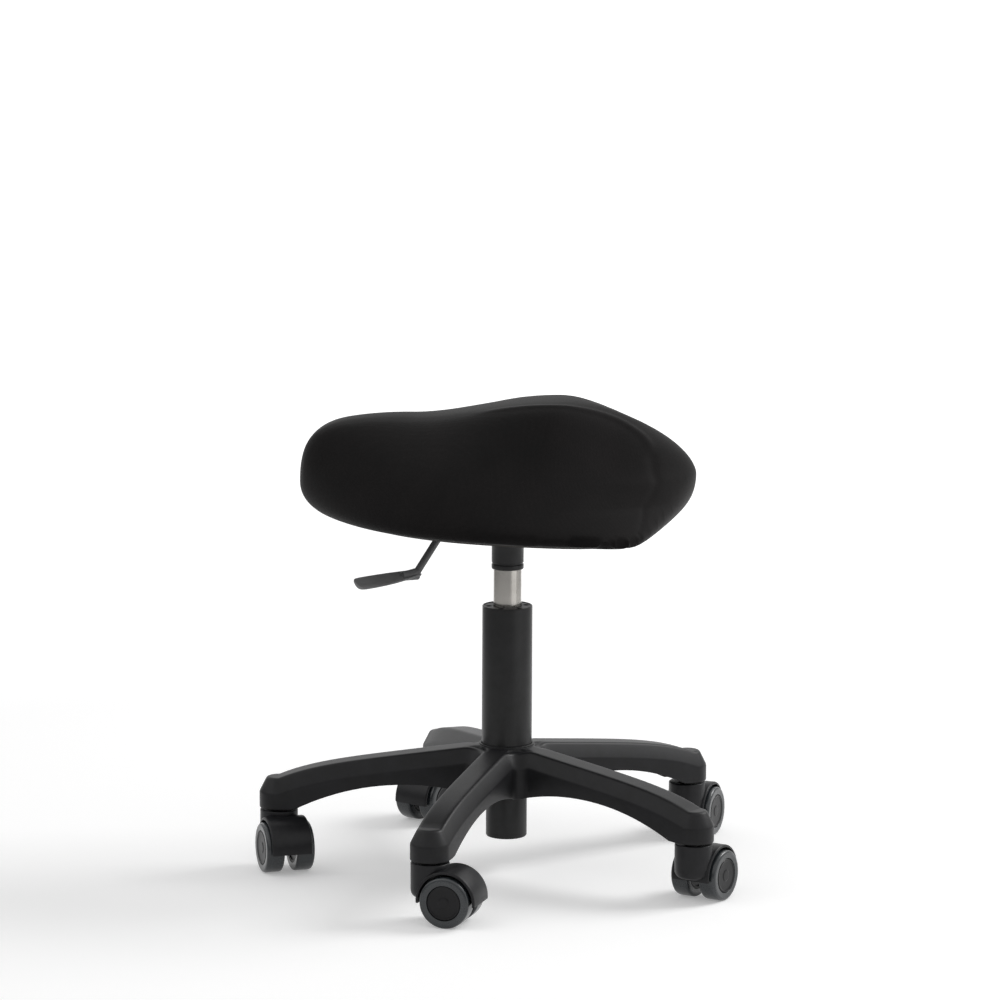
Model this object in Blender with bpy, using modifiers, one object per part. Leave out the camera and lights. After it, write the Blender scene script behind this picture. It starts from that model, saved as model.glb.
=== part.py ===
"""Ergonomic saddle stool: a five-arm castor base, a gas column and an upholstered saddle seat.

Metres, +Z up. The origin lies on the floor, on the column's axis. The base, the five castors,
the column and the seat each have a heading about that axis, as the stool stands at rest.
"""

import math

import bmesh
import bpy
import numpy as np
from mathutils import Matrix, Vector

# Clearances
FIT_GAP = 0.0003
TURNING_GAP = 0.0004
END_GAP = 0.001
MERGE_DISTANCE = 0.00001
CUT_MARGIN = 0.010
ROUND_SHARE = 0.3

# Facets
COLUMN_FACETS = 24
SMALL_FACETS = 12
WHEEL_FACETS = 20
HOOD_FACETS = 24
NECK_FACETS = 16

# Headings at rest, in degrees about the column
FIRST_ARM_HEADING = 260.0
CASTOR_HEADINGS = (8.8, 62.0, 139.0, 147.3, 312.7)
NOSE_HEADING = 251.1
LEVER_FROM_NOSE = 41.6

# Base star
ARM_COUNT = 5
STEM_CIRCLE_RADIUS = 0.228
HUB_RADIUS = 0.037
HUB_SHOULDER_RADIUS = 0.030
HUB_SHOULDER_DROP = 0.002
HUB_LIP_RADIUS = 0.0275
HUB_LIP_HEIGHT = 0.0018
HUB_FOOT_Z = 0.079
ARM_ROOT_Z = 0.1269
ARM_END_Z = 0.092
ARM_CROWN_Z = 0.088
ARM_CROWN_RADIUS = 0.100
ARM_CROWN_SAG = 0.0085
ARM_FOOT_POWER = 2.1
ARM_SLOPE_SHARE = 0.72
ARM_DROOP_POWER = 6
ARM_TIP_RUN_IN = 0.004
HOLLOW_FLAT_SHARE = 0.6
HOLLOW_SHOULDER_SHARE = 0.4
ARM_FLAT_WIDTH = 0.024
ARM_BEVEL_OUT = 0.0075
ARM_BEVEL_DOWN = 0.015
ARM_FOOT_Z = 0.0612
ARM_WALL = 0.003
ARM_RIB = 0.0025
ARM_POCKETS = 3
ARM_STATIONS = 8
TIP_STEPS = 8
SOCKET_WALL = 0.005

# Castor stems
STEM_RADIUS = 0.0055
STEM_GRIP_LENGTH = 0.0218
STEM_JOURNAL_RADIUS = 0.004
STEM_JOURNAL_LENGTH = 0.026
STEM_FLANGE_RADIUS = 0.0085
STEM_FLANGE_THICKNESS = 0.0016

# Castor housings
CASTOR_TRAIL = 0.022
NECK_RADIUS = 0.0189
NECK_CHAMFER = 0.0008
NECK_FOOT_Z = 0.0245
NECK_FOOT_ROUND = 0.0075
HOOD_RADIUS = 0.030
HOOD_HALF_WIDTH = 0.0205
HOOD_WALL = 0.0025
HOOD_REAR_EDGE_Z = 0.0225
WEB_HALF_WIDTH = 0.0055
AXLE_BOSS_RADIUS = 0.0058
AXLE_RADIUS = 0.003
AXLE_HALF_LENGTH = 0.0215

# Castor wheels
WHEEL_RADIUS = 0.025
WHEEL_FACE_RADIUS = 0.0172
WHEEL_OUTER_FACE = 0.0247
WHEEL_INNER_FACE = 0.0063
WHEEL_TREAD_EDGE = 0.0167
WHEEL_FACE_FALL = 0.0010

# Column tube
TUBE_RADIUS = 0.025
TUBE_WALL = 0.0018
TUBE_TOP_Z = 0.268
TUBE_TOP_CHAMFER = 0.0006
TUBE_NECK_RADIUS = 0.0205
TUBE_NECK_TOP_Z = 0.086
TUBE_SWAGE_HEIGHT = 0.022
TUBE_FOOT_Z = 0.033
TUBE_FOOT_ROUND = 0.0035
TUBE_FOOT_LEDGE = 0.001
TUBE_FLOOR_RISE = 0.004
TUBE_FLOOR_THICKNESS = 0.003

# Guide bush
BUSH_LENGTH = 0.080
BUSH_TOP_DROP = 0.0005
BUSH_RELIEF_DEPTH = 0.0012
BUSH_RELIEF_INSET = 0.012
BUSH_NOTCHES = 6
BUSH_NOTCH_RADIUS = 0.003
BUSH_NOTCH_DEPTH = 0.006

# Gas spring
CYLINDER_RADIUS = 0.014
CYLINDER_WALL = 0.0014
CYLINDER_FOOT_Z = 0.098
CYLINDER_PLUG = 0.012
CYLINDER_CAVITY_TOP_Z = 0.300
CYLINDER_TAPER_Z = 0.309
CYLINDER_TAPER_RADIUS = 0.0128
CYLINDER_TOP_Z = 0.3392
SPRING_RISE = 0.086
ROD_RADIUS = 0.005
ROD_JOURNAL_RADIUS = 0.004
ROD_SPIGOT_RADIUS = 0.0035
ROD_TIP_RISE = 0.001
CLIP_RADIUS = 0.0075
CLIP_THICKNESS = 0.0012
CLIP_GROOVE_DEPTH = 0.0008
WASHER_RADIUS = 0.013
WASHER_THICKNESS = 0.002
CAGE_RADIUS = 0.0115
CAGE_THICKNESS = 0.003
BUMPER_RADIUS = 0.0105
BUMPER_HEIGHT = 0.0125
PISTON_HEIGHT = 0.012
VALVE_RADIUS = 0.0025
VALVE_LENGTH = 0.030

# Seat plate
PLATE_THICKNESS = 0.0025
PLATE_LENGTH = 0.190
PLATE_WIDTH = 0.150
PLATE_PAN_LENGTH = 0.120
PLATE_PAN_WIDTH = 0.096
PLATE_PAN_SLOPE = 0.008
PLATE_CORNER = 0.012
PLATE_FLOOR_CORNER = 0.0072
PLATE_FLOOR_Z = 0.3385
SLEEVE_RADIUS = 0.016
SLEEVE_WELD = 0.0005
SLEEVE_FOOT_Z = 0.305
SLEEVE_RING_HEIGHT = 0.005
SLEEVE_GROOVE = 0.0008
SLEEVE_CHAMFER = 0.0015
BOLT_SPACING_LENGTH = 0.160
BOLT_SPACING_WIDTH = 0.120
BOLT_RADIUS = 0.003
BOLT_HEAD_RADIUS = 0.0058
BOLT_HEAD_HEIGHT = 0.0036
BOLT_RIM_SHARE = 0.35
BOLT_CROWN_SHARE = 0.72
BOLT_SOCKET_RADIUS = 0.0023
BOLT_SOCKET_DEPTH = 0.002
BOLT_ENGAGEMENT = 0.009

# Lever
LEVER_ROD_RADIUS = 0.0037
LEVER_Z = 0.3462
LEVER_INNER_END = 0.004
LEVER_PIVOT_RADIUS = 0.048
LEVER_BEND_RADIUS = 0.078
LEVER_LOW_RADIUS = 0.1065
LEVER_LOW_Z = 0.3095
LEVER_BEND_ROUND = 0.006
LEVER_SOCKET_DEPTH = 0.016
LEVER_SLOT_HALF_WIDTH = 0.0062
LEVER_SLOT_PAST_BEND = 0.014
YOKE_LENGTH = 0.012
YOKE_WIDTH = 0.009
YOKE_HEIGHT = 0.009
PIN_RADIUS = 0.00175
EAR_THICKNESS = 0.0025
EAR_LENGTH = 0.010
EAR_HEAD = 0.0022
PADDLE_LENGTH = 0.070
PADDLE_WIDTH = 0.026
PADDLE_THICKNESS = 0.0032
PADDLE_BOSS_RADIUS = 0.0060
PADDLE_BOSS_NOSE_RADIUS = 0.0049
PADDLE_BOSS_OVERHANG = 0.007
PADDLE_DROP = 0.004
PADDLE_DISH = 0.0032
PADDLE_ROLL = -10.0
PADDLE_START_BACK = 0.003
PADDLE_SAG = 0.002
PADDLE_THIN_START = 0.9
PADDLE_THIN_SHARE = 0.75
PADDLE_EDGE_SHARE = 0.35
PADDLE_BOSS_STEP = 0.001
PADDLE_WIDTHS = (
    (0.0, 0.46),
    (0.10, 0.72),
    (0.25, 0.92),
    (0.5, 1.0),
    (0.78, 0.96),
    (0.93, 0.74),
    (1.0, 0.42),
)

# Seat board
SEAT_BASE_Z = 0.352
BOARD_THICKNESS = 0.012
BOARD_INSET = 0.022
BOARD_OUTLINE_POINTS = 32

# Saddle cushion, in the seat's own frame with the nose towards -Y, heights above its base
SADDLE_NOSE_Y = -0.2164
SADDLE_REAR_Y = 0.1857
SADDLE_HALF_WIDTH = 0.1659
SADDLE_WIDEST_Y = 0.1408
SADDLE_TAPER_POWER = 3.64
SADDLE_TIP_ROUND = 0.033
SADDLE_BELLY_HEIGHT = 0.0354
SADDLE_SIDE_TUCK = 0.0326
SADDLE_REAR_TUCK = 0.0355
SADDLE_REAR_BOW = 0.004
SADDLE_PEAK_HEIGHT = 0.1322
SADDLE_PEAK_Y = 0.0524
SADDLE_DIP_HEIGHT = 0.1113
SADDLE_DIP_Y = -0.0999
SADDLE_NOSE_HEIGHT = 0.1016
SADDLE_REAR_ROLL_LENGTH = 0.1327
SADDLE_REAR_ROLL_HEIGHT = 0.0952
SADDLE_NOSE_ROLL_LENGTH = 0.0572
SADDLE_NOSE_ROLL_HEIGHT = 0.0656
SADDLE_NOSE_ROLL_POWER = 2.3
SADDLE_RIM_HEIGHT = 0.0088
SADDLE_CREST_HALF_WIDTH = 0.0398
SADDLE_CREST_NOSE_HALF_WIDTH = 0.0199
SADDLE_CREST_PINCH = 0.0282
SADDLE_REAR_HOLLOW = 0.0121
SADDLE_FRONT_SWELL = 0.0157
SADDLE_SOFTNESS = 0.0088
SADDLE_TOP_SOFTNESS = 0.0064
SADDLE_CORNER_SOFTNESS = 0.019
SADDLE_CORNER_START = 0.108
SADDLE_CORNER_FULL = 0.080
SADDLE_DIP_FADE = 0.080
SADDLE_CREST_FADE = 0.200
SADDLE_PINCH_FADE = 0.060
SADDLE_HOLLOW_START_Y = 0.060
SADDLE_HOLLOW_FADE = 0.120
SADDLE_CREST_SHARE = 0.8
SADDLE_SLOPE_FLOOR = 0.1
SADDLE_FLAT_MARGIN = 0.0006
SADDLE_SEARCH = 0.4
CREASE_NEAR_TURN = 8.0
CREASE_FAR_TURN = 62.0
CREASE_START = 0.3
CUSHION_CELLS = (16, 20, 10)

# Colours
BLACK_NYLON = (0.022, 0.022, 0.023)
BLACK_COAT = (0.018, 0.018, 0.019)
GREY_TREAD = (0.105, 0.118, 0.125)
BARE_STEEL = (0.55, 0.54, 0.52)
BLACK_CLOTH = (0.006, 0.006, 0.006)
BIRCH_PLY = (0.52, 0.37, 0.22)
RUBBER_BLACK = (0.012, 0.012, 0.012)

# Sizes that follow from the ones above
ARM_HALF_WIDTH = ARM_FLAT_WIDTH / 2.0 + ARM_BEVEL_OUT
LIP_TOP_Z = ARM_ROOT_Z + HUB_LIP_HEIGHT
NECK_TOP_Z = ARM_FOOT_Z - STEM_FLANGE_THICKNESS - 2.0 * FIT_GAP
STEM_TOP_Z = ARM_FOOT_Z - FIT_GAP + STEM_GRIP_LENGTH
HOOD_INNER_RADIUS = HOOD_RADIUS - HOOD_WALL
AXLE_PLACE = (CASTOR_TRAIL, 0.0, WHEEL_RADIUS)
SWAGE_TOP_Z = TUBE_NECK_TOP_Z + TUBE_SWAGE_HEIGHT
TUBE_FLOOR_Z = TUBE_FOOT_Z + TUBE_FLOOR_RISE
TUBE_FLOOR_TOP_Z = TUBE_FLOOR_Z + TUBE_FLOOR_THICKNESS
LOWER_WASHER_Z = TUBE_FLOOR_TOP_Z + FIT_GAP
CAGE_Z = LOWER_WASHER_Z + WASHER_THICKNESS + FIT_GAP
UPPER_WASHER_Z = CAGE_Z + CAGE_THICKNESS + FIT_GAP
ROD_SHOULDER_Z = UPPER_WASHER_Z + WASHER_THICKNESS + FIT_GAP
PISTON_FOOT_Z = CYLINDER_FOOT_Z + CYLINDER_PLUG + SPRING_RISE + END_GAP
PISTON_TOP_Z = PISTON_FOOT_Z + PISTON_HEIGHT
FLANGE_TOP_Z = SEAT_BASE_Z - FIT_GAP


def smooth_max(fields, softness):
    """The larger of several fields at each point, with the change between them rounded."""
    stack = np.array(fields)
    largest = stack.max(axis=0)
    return largest + softness * np.log(np.exp((stack - largest) / softness).sum(axis=0))


def towards_nose(y):
    """How far a place lies from the saddle's widest line to its nose, from 0 to 1 and beyond."""
    return np.maximum((SADDLE_WIDEST_Y - y) / (SADDLE_WIDEST_Y - SADDLE_NOSE_Y), 0.0)


def crest_height(y):
    """Height of the saddle's crest above its base, from the rear peak through the dip."""
    blend = np.clip((SADDLE_PEAK_Y - y) / (SADDLE_PEAK_Y - SADDLE_DIP_Y), 0.0, 1.0)
    drop = SADDLE_DIP_HEIGHT - SADDLE_PEAK_HEIGHT
    front = SADDLE_PEAK_HEIGHT + drop * (3.0 * blend**2 - 2.0 * blend**3)
    past_dip = np.clip((SADDLE_DIP_Y - y) / SADDLE_DIP_FADE, 0.0, 2.0)
    return front + (SADDLE_NOSE_HEIGHT - SADDLE_DIP_HEIGHT) * past_dip**2


def plan_field(x, y):
    """Distance outside the saddle's outline from above, negative inside it."""
    ahead = towards_nose(y)
    hyp = np.sqrt(x**2 + SADDLE_TIP_ROUND**2)
    across = hyp - SADDLE_TIP_ROUND
    field = across / SADDLE_HALF_WIDTH + ahead**SADDLE_TAPER_POWER - 1.0
    slope_x = x / hyp / SADDLE_HALF_WIDTH
    slope_y = SADDLE_TAPER_POWER * ahead ** (SADDLE_TAPER_POWER - 1.0)
    slope_y = slope_y / (SADDLE_WIDEST_Y - SADDLE_NOSE_Y)
    return field / np.sqrt(slope_x**2 + slope_y**2 + SADDLE_SLOPE_FLOOR)


def wall_fields(x, y, tuck):
    """The outline's side and rear walls, drawn in towards the base by a share of their tuck."""
    side = plan_field(x, y) + SADDLE_SIDE_TUCK * tuck
    bow = (x / SADDLE_HALF_WIDTH) ** 2 * SADDLE_REAR_BOW
    rear = y - SADDLE_REAR_Y + SADDLE_REAR_TUCK * tuck + bow
    return side, rear


def flank_field(x, y, height, crest):
    """The two flanks that rise from the rim to the crest, hollow behind and full in front."""
    ahead = np.minimum(towards_nose(y), 1.0)
    rim = SADDLE_HALF_WIDTH * (1.0 - ahead**SADDLE_TAPER_POWER)
    forward = np.clip((SADDLE_PEAK_Y - y) / SADDLE_CREST_FADE, 0.0, 1.0)
    nose_change = SADDLE_CREST_NOSE_HALF_WIDTH - SADDLE_CREST_HALF_WIDTH
    top = SADDLE_CREST_HALF_WIDTH + nose_change * forward
    pinch = np.clip((y - SADDLE_PEAK_Y) / SADDLE_PINCH_FADE, 0.0, 1.0)
    top = top - SADDLE_CREST_PINCH * pinch**2
    top = np.minimum(top, rim * SADDLE_CREST_SHARE)
    climb = np.clip((height - SADDLE_RIM_HEIGHT) / (crest - SADDLE_RIM_HEIGHT), -0.5, 1.5)
    fullness = np.clip((SADDLE_HOLLOW_START_Y - y) / SADDLE_HOLLOW_FADE, 0.0, 1.0)
    swell = -SADDLE_REAR_HOLLOW + (SADDLE_FRONT_SWELL + SADDLE_REAR_HOLLOW) * fullness
    between = (climb > 0.0) & (climb < 1.0)
    line = rim + (top - rim) * climb + swell * 4.0 * climb * (1.0 - climb) * between
    steepness = (rim - top) / (crest - SADDLE_RIM_HEIGHT)
    return (np.abs(x) - line) / np.sqrt(1.0 + steepness**2)


def rear_roll_field(x, y, height):
    """The rear face, which rolls forward over the belly line up to the peak."""
    up = np.maximum(height - SADDLE_BELLY_HEIGHT, 0.0)
    rate = SADDLE_REAR_ROLL_LENGTH / SADDLE_REAR_ROLL_HEIGHT**3
    bow = (x / SADDLE_HALF_WIDTH) ** 2 * SADDLE_REAR_BOW
    field = y - SADDLE_REAR_Y + rate * up**3 + bow
    return field / np.sqrt(1.0 + (3.0 * rate * up**2) ** 2)


def nose_roll_field(y, height, crest):
    """The rounded end of the nose, seen from the side."""
    line = SADDLE_NOSE_Y + SADDLE_NOSE_ROLL_LENGTH
    along = np.clip((line - y) / SADDLE_NOSE_ROLL_LENGTH, 0.0, 2.0)
    start = crest - SADDLE_NOSE_ROLL_HEIGHT
    up = np.clip((height - start) / SADDLE_NOSE_ROLL_HEIGHT, 0.0, 2.0)
    power = SADDLE_NOSE_ROLL_POWER
    size = min(SADDLE_NOSE_ROLL_LENGTH, SADDLE_NOSE_ROLL_HEIGHT)
    return ((along**power + up**power) ** (1.0 / power) - 1.0) * size


def corner_softness(height):
    """How softly the rear corners turn, sharper towards the crest than by the base."""
    below = (SADDLE_CORNER_START - height) / (SADDLE_CORNER_START - SADDLE_CORNER_FULL)
    change = SADDLE_CORNER_SOFTNESS - SADDLE_SOFTNESS
    return SADDLE_SOFTNESS + change * np.clip(below, 0.0, 1.0)


def saddle_field(points):
    """Distance outside the whole saddle form at many points, negative inside it."""
    x = points[:, 0]
    y = points[:, 1]
    height = points[:, 2] - SEAT_BASE_Z
    crest = crest_height(y)
    low = np.clip((SADDLE_BELLY_HEIGHT - height) / SADDLE_BELLY_HEIGHT, 0.0, 3.0)
    side, rear = wall_fields(x, y, low**2)
    beside = np.maximum(flank_field(x, y, height, crest), side)
    behind = np.maximum(rear_roll_field(x, y, height), rear)
    corner = smooth_max([beside, behind], corner_softness(height))
    upper = smooth_max(
        [
            height - crest,
            flank_field(x, y, height, crest),
            rear_roll_field(x, y, height),
            nose_roll_field(y, height, crest),
        ],
        SADDLE_TOP_SOFTNESS,
    )
    return np.maximum(smooth_max([upper, side, rear, -height], SADDLE_SOFTNESS), corner)


def surface_distances(field, start, directions, furthest):
    """How far along each direction the surface of a field lies from an inner point."""
    near = np.zeros(len(directions))
    far = np.full(len(directions), furthest)
    for _ in range(24):
        middle = (near + far) / 2.0
        outside = field(start + directions * middle[:, None]) > 0.0
        far = np.where(outside, middle, far)
        near = np.where(outside, near, middle)
    return near


def clear_scene():
    """Remove whatever the scene held before."""
    for thing in list(bpy.data.objects):
        bpy.data.objects.remove(thing, do_unlink=True)


def new_collection(name):
    """A collection linked to the scene."""
    collection = bpy.data.collections.new(name)
    bpy.context.scene.collection.children.link(collection)
    return collection


def new_material(name, colour, roughness, metallic=0.0):
    """A Principled material of one colour."""
    made = bpy.data.materials.new(name)
    made.use_nodes = True
    shader = made.node_tree.nodes["Principled BSDF"]
    shader.inputs["Base Color"].default_value = (*colour, 1.0)
    shader.inputs["Roughness"].default_value = roughness
    shader.inputs["Metallic"].default_value = metallic
    return made


def new_empty(name, location=(0.0, 0.0, 0.0), heading=0.0, parent=None):
    """A point that pieces hang from, turned about +Z by a heading in degrees."""
    empty = bpy.data.objects.new(name, None)
    PARTS.objects.link(empty)
    empty.location = location
    empty.rotation_euler = (0.0, 0.0, math.radians(heading))
    empty.parent = parent
    return empty


def place(obj, finish=None, location=(0.0, 0.0, 0.0), rotation=(0.0, 0.0, 0.0), parent=None):
    """Put a piece where it belongs, or a cutter if it has no finish."""
    obj.location = location
    obj.rotation_euler = rotation
    obj.parent = parent
    if finish is None:
        CUTTERS.objects.link(obj)
        obj.hide_render = True
        obj.display_type = "WIRE"
        return obj
    PARTS.objects.link(obj)
    obj.data.materials.clear()
    obj.data.materials.append(finish)
    return obj


def mesh_object(name, form):
    """An object from a bmesh, shaded smooth up to 40 degrees."""
    bmesh.ops.recalc_face_normals(form, faces=form.faces)
    mesh = bpy.data.meshes.new(name)
    form.to_mesh(mesh)
    form.free()
    mesh.shade_smooth()
    mesh.set_sharp_from_angle(angle=math.radians(40.0))
    return bpy.data.objects.new(name, mesh)


def box(name, low, high):
    """A box between two corners."""
    form = bmesh.new()
    bmesh.ops.create_cube(form, size=1.0)
    low = Vector(low)
    high = Vector(high)
    size = high - low
    bmesh.ops.scale(form, vec=size, verts=form.verts)
    bmesh.ops.translate(form, vec=(low + high) / 2.0, verts=form.verts)
    return mesh_object(name, form)


def drum(name, radius, bottom, top, facets, top_radius=None):
    """A cylinder or cone about Z between two heights."""
    form = bmesh.new()
    upper = radius if top_radius is None else top_radius
    bmesh.ops.create_cone(
        form, cap_ends=True, segments=facets, radius1=radius, radius2=upper, depth=top - bottom
    )
    bmesh.ops.translate(form, vec=(0.0, 0.0, (bottom + top) / 2.0), verts=form.verts)
    return mesh_object(name, form)


def turned(name, outline, facets):
    """A solid turned about Z from an outline of (radius, height) points.

    An outline that touches the axis at both ends is left open there, and any other is closed.
    """
    ahead = outline[1:] + outline[:1]
    area = sum(r0 * z1 - r1 * z0 for (r0, z0), (r1, z1) in zip(outline, ahead))
    points = outline if area < 0.0 else outline[::-1]
    on_axis = outline[0][0] == 0.0 and outline[-1][0] == 0.0
    form = bmesh.new()
    corners = [form.verts.new((radius, 0.0, height)) for radius, height in points]
    for start, end in zip(corners, corners[1:]):
        form.edges.new((start, end))
    if not on_axis:
        form.edges.new((corners[-1], corners[0]))
    mesh = bpy.data.meshes.new(name)
    form.to_mesh(mesh)
    form.free()
    obj = bpy.data.objects.new(name, mesh)
    turn = obj.modifiers.new("Turn", "SCREW")
    turn.axis = "Z"
    turn.angle = 2.0 * math.pi
    turn.steps = facets
    turn.render_steps = facets
    turn.use_merge_vertices = True
    turn.merge_threshold = MERGE_DISTANCE
    return obj


def loft(name, rings):
    """A solid through rings of equally many points, closed at both ends."""
    form = bmesh.new()
    rows = [[form.verts.new(point) for point in ring] for ring in rings]
    for lower, upper in zip(rows, rows[1:]):
        for at in range(len(lower)):
            beside = (at + 1) % len(lower)
            form.faces.new((lower[at], lower[beside], upper[beside], upper[at]))
    form.faces.new(rows[0][::-1])
    form.faces.new(rows[-1])
    return mesh_object(name, form)


def boolean(target, tool, operation="DIFFERENCE"):
    """Cut a tool from a piece, or join it on."""
    step = target.modifiers.new(tool.name, "BOOLEAN")
    step.operation = operation
    step.solver = "EXACT"
    step.object = tool


def arc(centre, radius, start, end, steps):
    """Points of a circle's arc between two angles in degrees."""
    turns = [math.radians(start + (end - start) * at / steps) for at in range(steps + 1)]
    return [(centre[0] + radius * math.cos(a), centre[1] + radius * math.sin(a)) for a in turns]


def fused_copies(name, pieces):
    """One mesh object of several clear, separate meshes, each given with its matrix."""
    form = bmesh.new()
    for piece, matrix in pieces:
        copy = piece.data.copy()
        copy.transform(matrix)
        form.from_mesh(copy)
        bpy.data.meshes.remove(copy)
        bpy.data.objects.remove(piece)
    return mesh_object(name, form)


def arm_top(reach):
    """Height of an arm's flat top at a distance from the column."""
    along = (reach - HUB_SHOULDER_RADIUS) / (STEM_CIRCLE_RADIUS - HUB_SHOULDER_RADIUS)
    fall = ARM_SLOPE_SHARE * along + (1.0 - ARM_SLOPE_SHARE) * along**ARM_DROOP_POWER
    return ARM_ROOT_Z - (ARM_ROOT_Z - ARM_END_Z) * fall


def arm_foot(reach):
    """Height of an arm's lower edge at a distance from the column."""
    tip_start = STEM_CIRCLE_RADIUS - ARM_HALF_WIDTH + ARM_TIP_RUN_IN
    if reach < ARM_CROWN_RADIUS:
        back = (ARM_CROWN_RADIUS - reach) / (ARM_CROWN_RADIUS - HUB_RADIUS)
        return ARM_CROWN_Z - ARM_CROWN_SAG * back**2
    ahead = min((reach - ARM_CROWN_RADIUS) / (tip_start - ARM_CROWN_RADIUS), 1.0)
    return ARM_CROWN_Z - (ARM_CROWN_Z - ARM_FOOT_Z) * ahead**ARM_FOOT_POWER


def arm_ring(reach, wall=0.0, below=0.0):
    """The six corners of an arm's section, or of the hollow inside it."""
    top = arm_top(reach) - wall
    foot = arm_foot(reach) - below
    half_flat = ARM_FLAT_WIDTH / 2.0 - wall * HOLLOW_FLAT_SHARE
    half_width = ARM_HALF_WIDTH - wall
    shoulder = top - ARM_BEVEL_DOWN + wall * HOLLOW_SHOULDER_SHARE
    right = [(half_width, foot), (half_width, shoulder), (half_flat, top)]
    left = [(-across, height) for across, height in reversed(right)]
    return [(reach, across, height) for across, height in right + left]


def arm_solid(name, start, end, count, wall=0.0, below=0.0):
    """An arm, or a hollow of one, between two distances from the column."""
    reaches = [start + (end - start) * at / (count - 1) for at in range(count)]
    return loft(name, [arm_ring(reach, wall, below) for reach in reaches])


def star_stations():
    """The star's outline for one arm, as rows of foot, shoulder and top corners.

    Rows run from the valley before the arm, out along one side, round the tip and back.
    """
    half_flat = ARM_FLAT_WIDTH / 2.0
    valley = math.radians(-180.0 / ARM_COUNT)
    facing = Vector((math.cos(valley), math.sin(valley), 0.0))
    shoulder = ARM_ROOT_Z - HUB_SHOULDER_DROP
    rows = [
        (
            facing * HUB_RADIUS + Vector((0.0, 0.0, HUB_FOOT_Z)),
            facing * HUB_RADIUS + Vector((0.0, 0.0, shoulder - ARM_BEVEL_DOWN)),
            facing * HUB_SHOULDER_RADIUS + Vector((0.0, 0.0, shoulder)),
        )
    ]
    root = math.sqrt(HUB_RADIUS**2 - ARM_HALF_WIDTH**2)
    top_root = math.sqrt(HUB_SHOULDER_RADIUS**2 - half_flat**2)
    going = [
        (
            Vector((root, -ARM_HALF_WIDTH, HUB_FOOT_Z)),
            Vector((root, -ARM_HALF_WIDTH, arm_top(root) - ARM_BEVEL_DOWN)),
            Vector((top_root, -half_flat, ARM_ROOT_Z)),
        )
    ]
    first = HUB_RADIUS + ARM_WALL
    for at in range(ARM_STATIONS):
        reach = first + (STEM_CIRCLE_RADIUS - first) * at / (ARM_STATIONS - 1)
        going.append(
            (
                Vector((reach, -ARM_HALF_WIDTH, arm_foot(reach))),
                Vector((reach, -ARM_HALF_WIDTH, arm_top(reach) - ARM_BEVEL_DOWN)),
                Vector((reach, -half_flat, arm_top(reach))),
            )
        )
    rows += going
    for at in range(1, TIP_STEPS):
        turn = math.radians(-90.0 + 180.0 * at / TIP_STEPS)
        out = Vector((math.cos(turn), math.sin(turn), 0.0))
        stem = Vector((STEM_CIRCLE_RADIUS, 0.0, 0.0))
        rows.append(
            (
                stem + out * ARM_HALF_WIDTH + Vector((0.0, 0.0, ARM_FOOT_Z)),
                stem + out * ARM_HALF_WIDTH + Vector((0.0, 0.0, ARM_END_Z - ARM_BEVEL_DOWN)),
                stem + out * half_flat + Vector((0.0, 0.0, ARM_END_Z)),
            )
        )
    mirror = Matrix.Diagonal((1.0, -1.0, 1.0, 1.0))
    rows += [tuple(mirror @ corner for corner in row) for row in reversed(going)]
    return rows


def build_star():
    """The hub and its five arms as one closed form."""
    form = bmesh.new()
    rows = star_stations()
    sides = ARM_STATIONS + 1
    loops = []
    for index in range(ARM_COUNT):
        spin = Matrix.Rotation(math.radians(FIRST_ARM_HEADING + index * 360.0 / ARM_COUNT), 4, "Z")
        corners = [[form.verts.new(spin @ corner) for corner in row] for row in rows]
        loops += corners
        for level in (0, 2):
            line = [row[level] for row in corners]
            for at in range(1, sides):
                form.faces.new((line[at], line[at + 1], line[-at - 1], line[-at]))
            form.faces.new(line[sides : len(line) - sides + 1])
    feet = []
    crowns = []
    for here, beside in zip(loops, loops[1:] + loops[:1]):
        form.faces.new((here[0], beside[0], beside[1], here[1]))
        form.faces.new((here[1], beside[1], beside[2], here[2]))
    count = len(rows)
    for index in range(ARM_COUNT):
        for at in (0, 1, count - 1):
            feet.append(loops[index * count + at][0])
            crowns.append(loops[index * count + at][2])
    for edge_line, height in ((feet, HUB_FOOT_Z), (crowns, ARM_ROOT_Z)):
        middle = form.verts.new((0.0, 0.0, height))
        for here, beside in zip(edge_line, edge_line[1:] + edge_line[:1]):
            form.faces.new((middle, here, beside))
    return mesh_object("base", form)


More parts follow.
